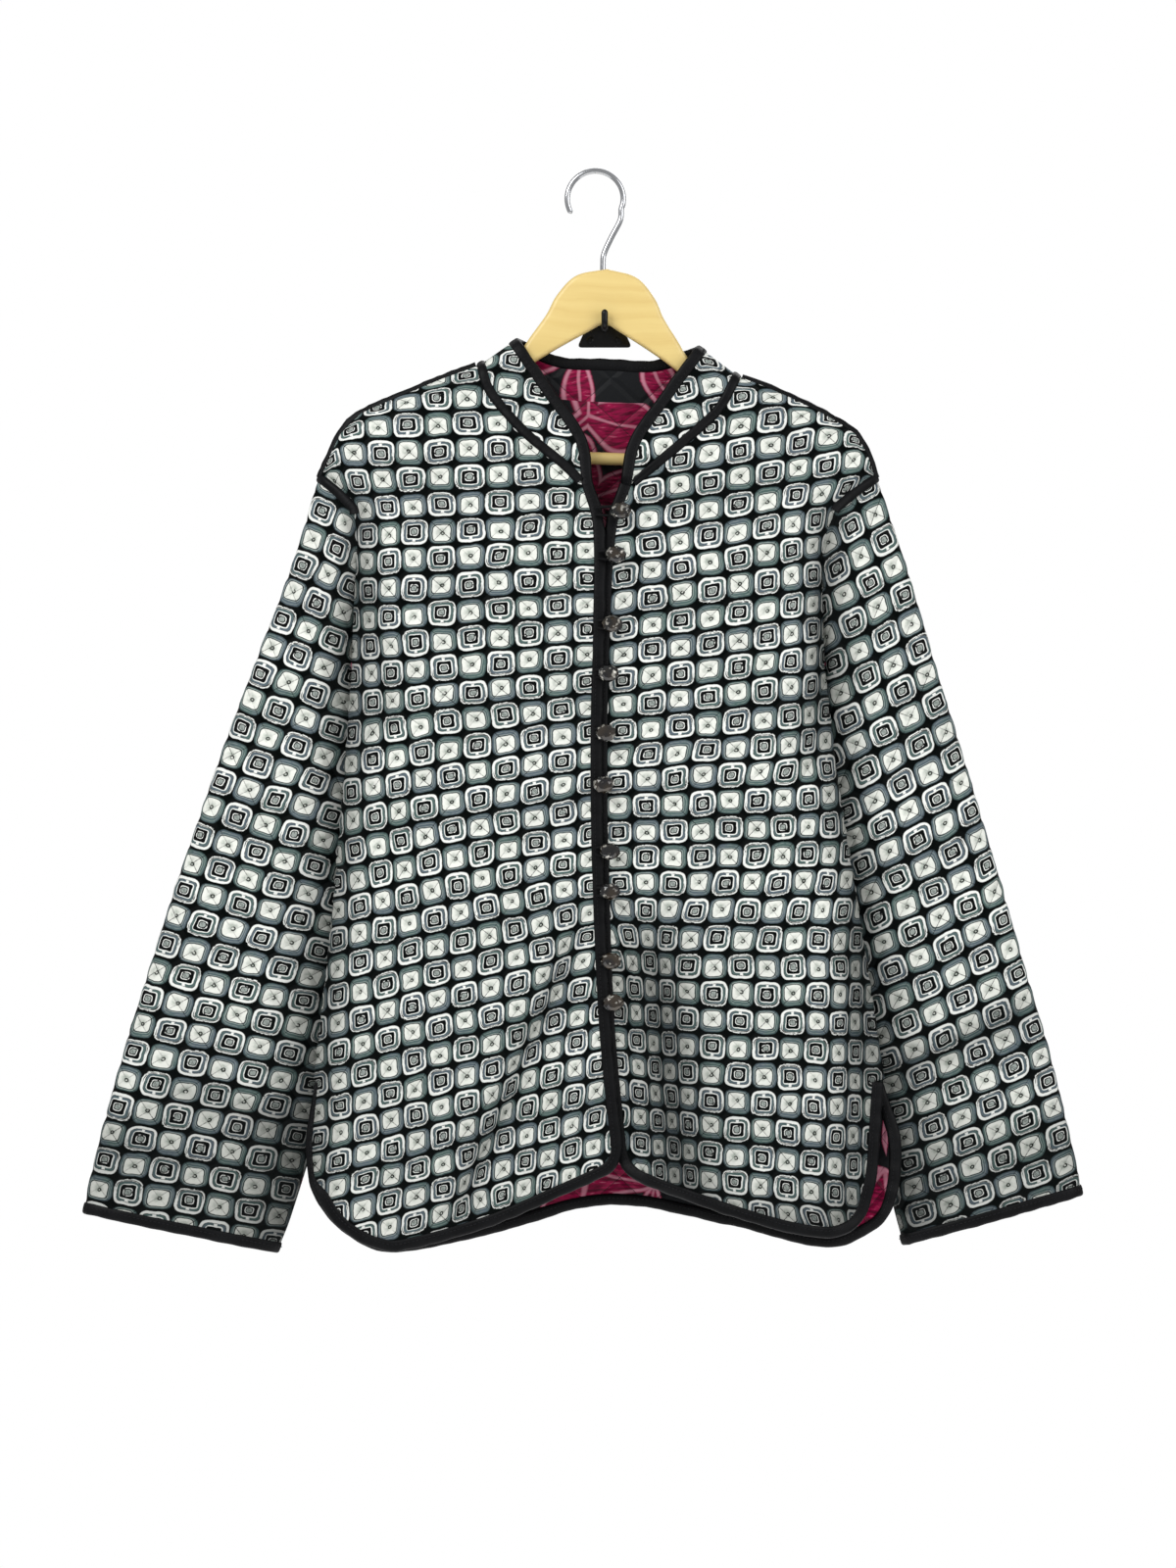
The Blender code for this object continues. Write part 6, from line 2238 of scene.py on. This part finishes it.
@dataclass
class Studio:
    """Camera, floor and soft lights."""

    pixel: float = 0.78
    frame_pixels: tuple[int, int] = (1200, 1600)
    centre: Point = Point(-13.3, -362.7)
    cloth_y: float = -45.0
    distance: float = 5200.0
    floor_level: float = -1330.0
    floor_size: float = 2.4
    ambient: float = 0.44
    lamps: tuple[Lamp, ...] = (
        Lamp("key", (-1.6, -1.9, 1.3), 46, 1.6),
        Lamp("fill", (1.9, -1.8, 0.6), 27, 1.8),
        Lamp("back", (0.6, 2.2, 0.9), 26, 2.0))

    def build(self) -> None:
        """Set the camera, the floor and the lights."""
        scene = bpy.context.scene
        data = bpy.data.cameras.new("camera")
        data.sensor_fit = "VERTICAL"
        data.sensor_height = 36.0
        data.lens = data.sensor_height * self.distance / (self.frame_pixels[1] * self.pixel)
        camera = bpy.data.objects.new("camera", data)
        camera.location = (self.centre.x * MM, (self.cloth_y - self.distance) * MM, self.centre.z * MM)
        camera.rotation_euler = (math.radians(90), 0, 0)
        scene.collection.objects.link(camera)
        scene.camera = camera
        scene.view_settings.view_transform = "Standard"
        self.light_world(scene)
        self.add_floor()
        for lamp in self.lamps:
            self.add_light(lamp)

    def light_world(self, scene: bpy.types.Scene) -> None:
        """Light everything softly from all round."""
        world = bpy.data.worlds.new("studio")
        world.use_nodes = True
        tree = world.node_tree
        background = tree.nodes["Background"]
        background.inputs["Color"].default_value = (1, 1, 1, 1)
        path = tree.nodes.new("ShaderNodeLightPath")
        strength = tree.nodes.new("ShaderNodeMapRange")
        strength.inputs["To Min"].default_value = self.ambient
        strength.inputs["To Max"].default_value = 1.0
        tree.links.new(path.outputs["Is Camera Ray"], strength.inputs["Value"])
        tree.links.new(strength.outputs["Result"], background.inputs["Strength"])
        scene.world = world

    def add_floor(self) -> None:
        """Lay a plain pale floor under the jacket."""
        half = self.floor_size / 2
        mesh = bpy.data.meshes.new("floor")
        level = self.floor_level * MM
        corners = [(x * half, y * half, level) for x, y in ((-1, -1), (1, -1), (1, 1), (-1, 1))]
        mesh.from_pydata(corners, [], [(0, 1, 2, 3)])
        graph = Graph("pale_floor")
        mesh.materials.append(graph.dress(Base_Color=(0.93, 0.93, 0.93, 1), Roughness=0.9,
                                           Emission_Color=(1, 1, 1, 1), Emission_Strength=0.5))
        add_object("floor", mesh)

    def add_light(self, lamp: Lamp) -> None:
        """Hang a large soft lamp that points at the jacket.

        Args:
            lamp: Its name, its place and width in metres, and its strength in watts.
        """
        data = bpy.data.lights.new(lamp.name, "AREA")
        data.energy = lamp.power
        data.size = lamp.size
        light = bpy.data.objects.new(lamp.name, data)
        light.location = lamp.place
        toward = Vector((0, self.cloth_y * MM, self.centre.z * MM)) - Vector(lamp.place)
        light.rotation_euler = toward.to_track_quat("-Z", "Y").to_euler()
        bpy.context.scene.collection.objects.link(light)


def main() -> None:
    """Build, dress and report every part."""
    logging.basicConfig(level=logging.INFO, format="%(name)s: %(message)s")
    Studio().build()
    for part in (Jacket(), Hanger(), WallHook()):
        part.build()
        part.dress()
        log.info("%s done", type(part).__name__)


if __name__ == "__main__":
    main()
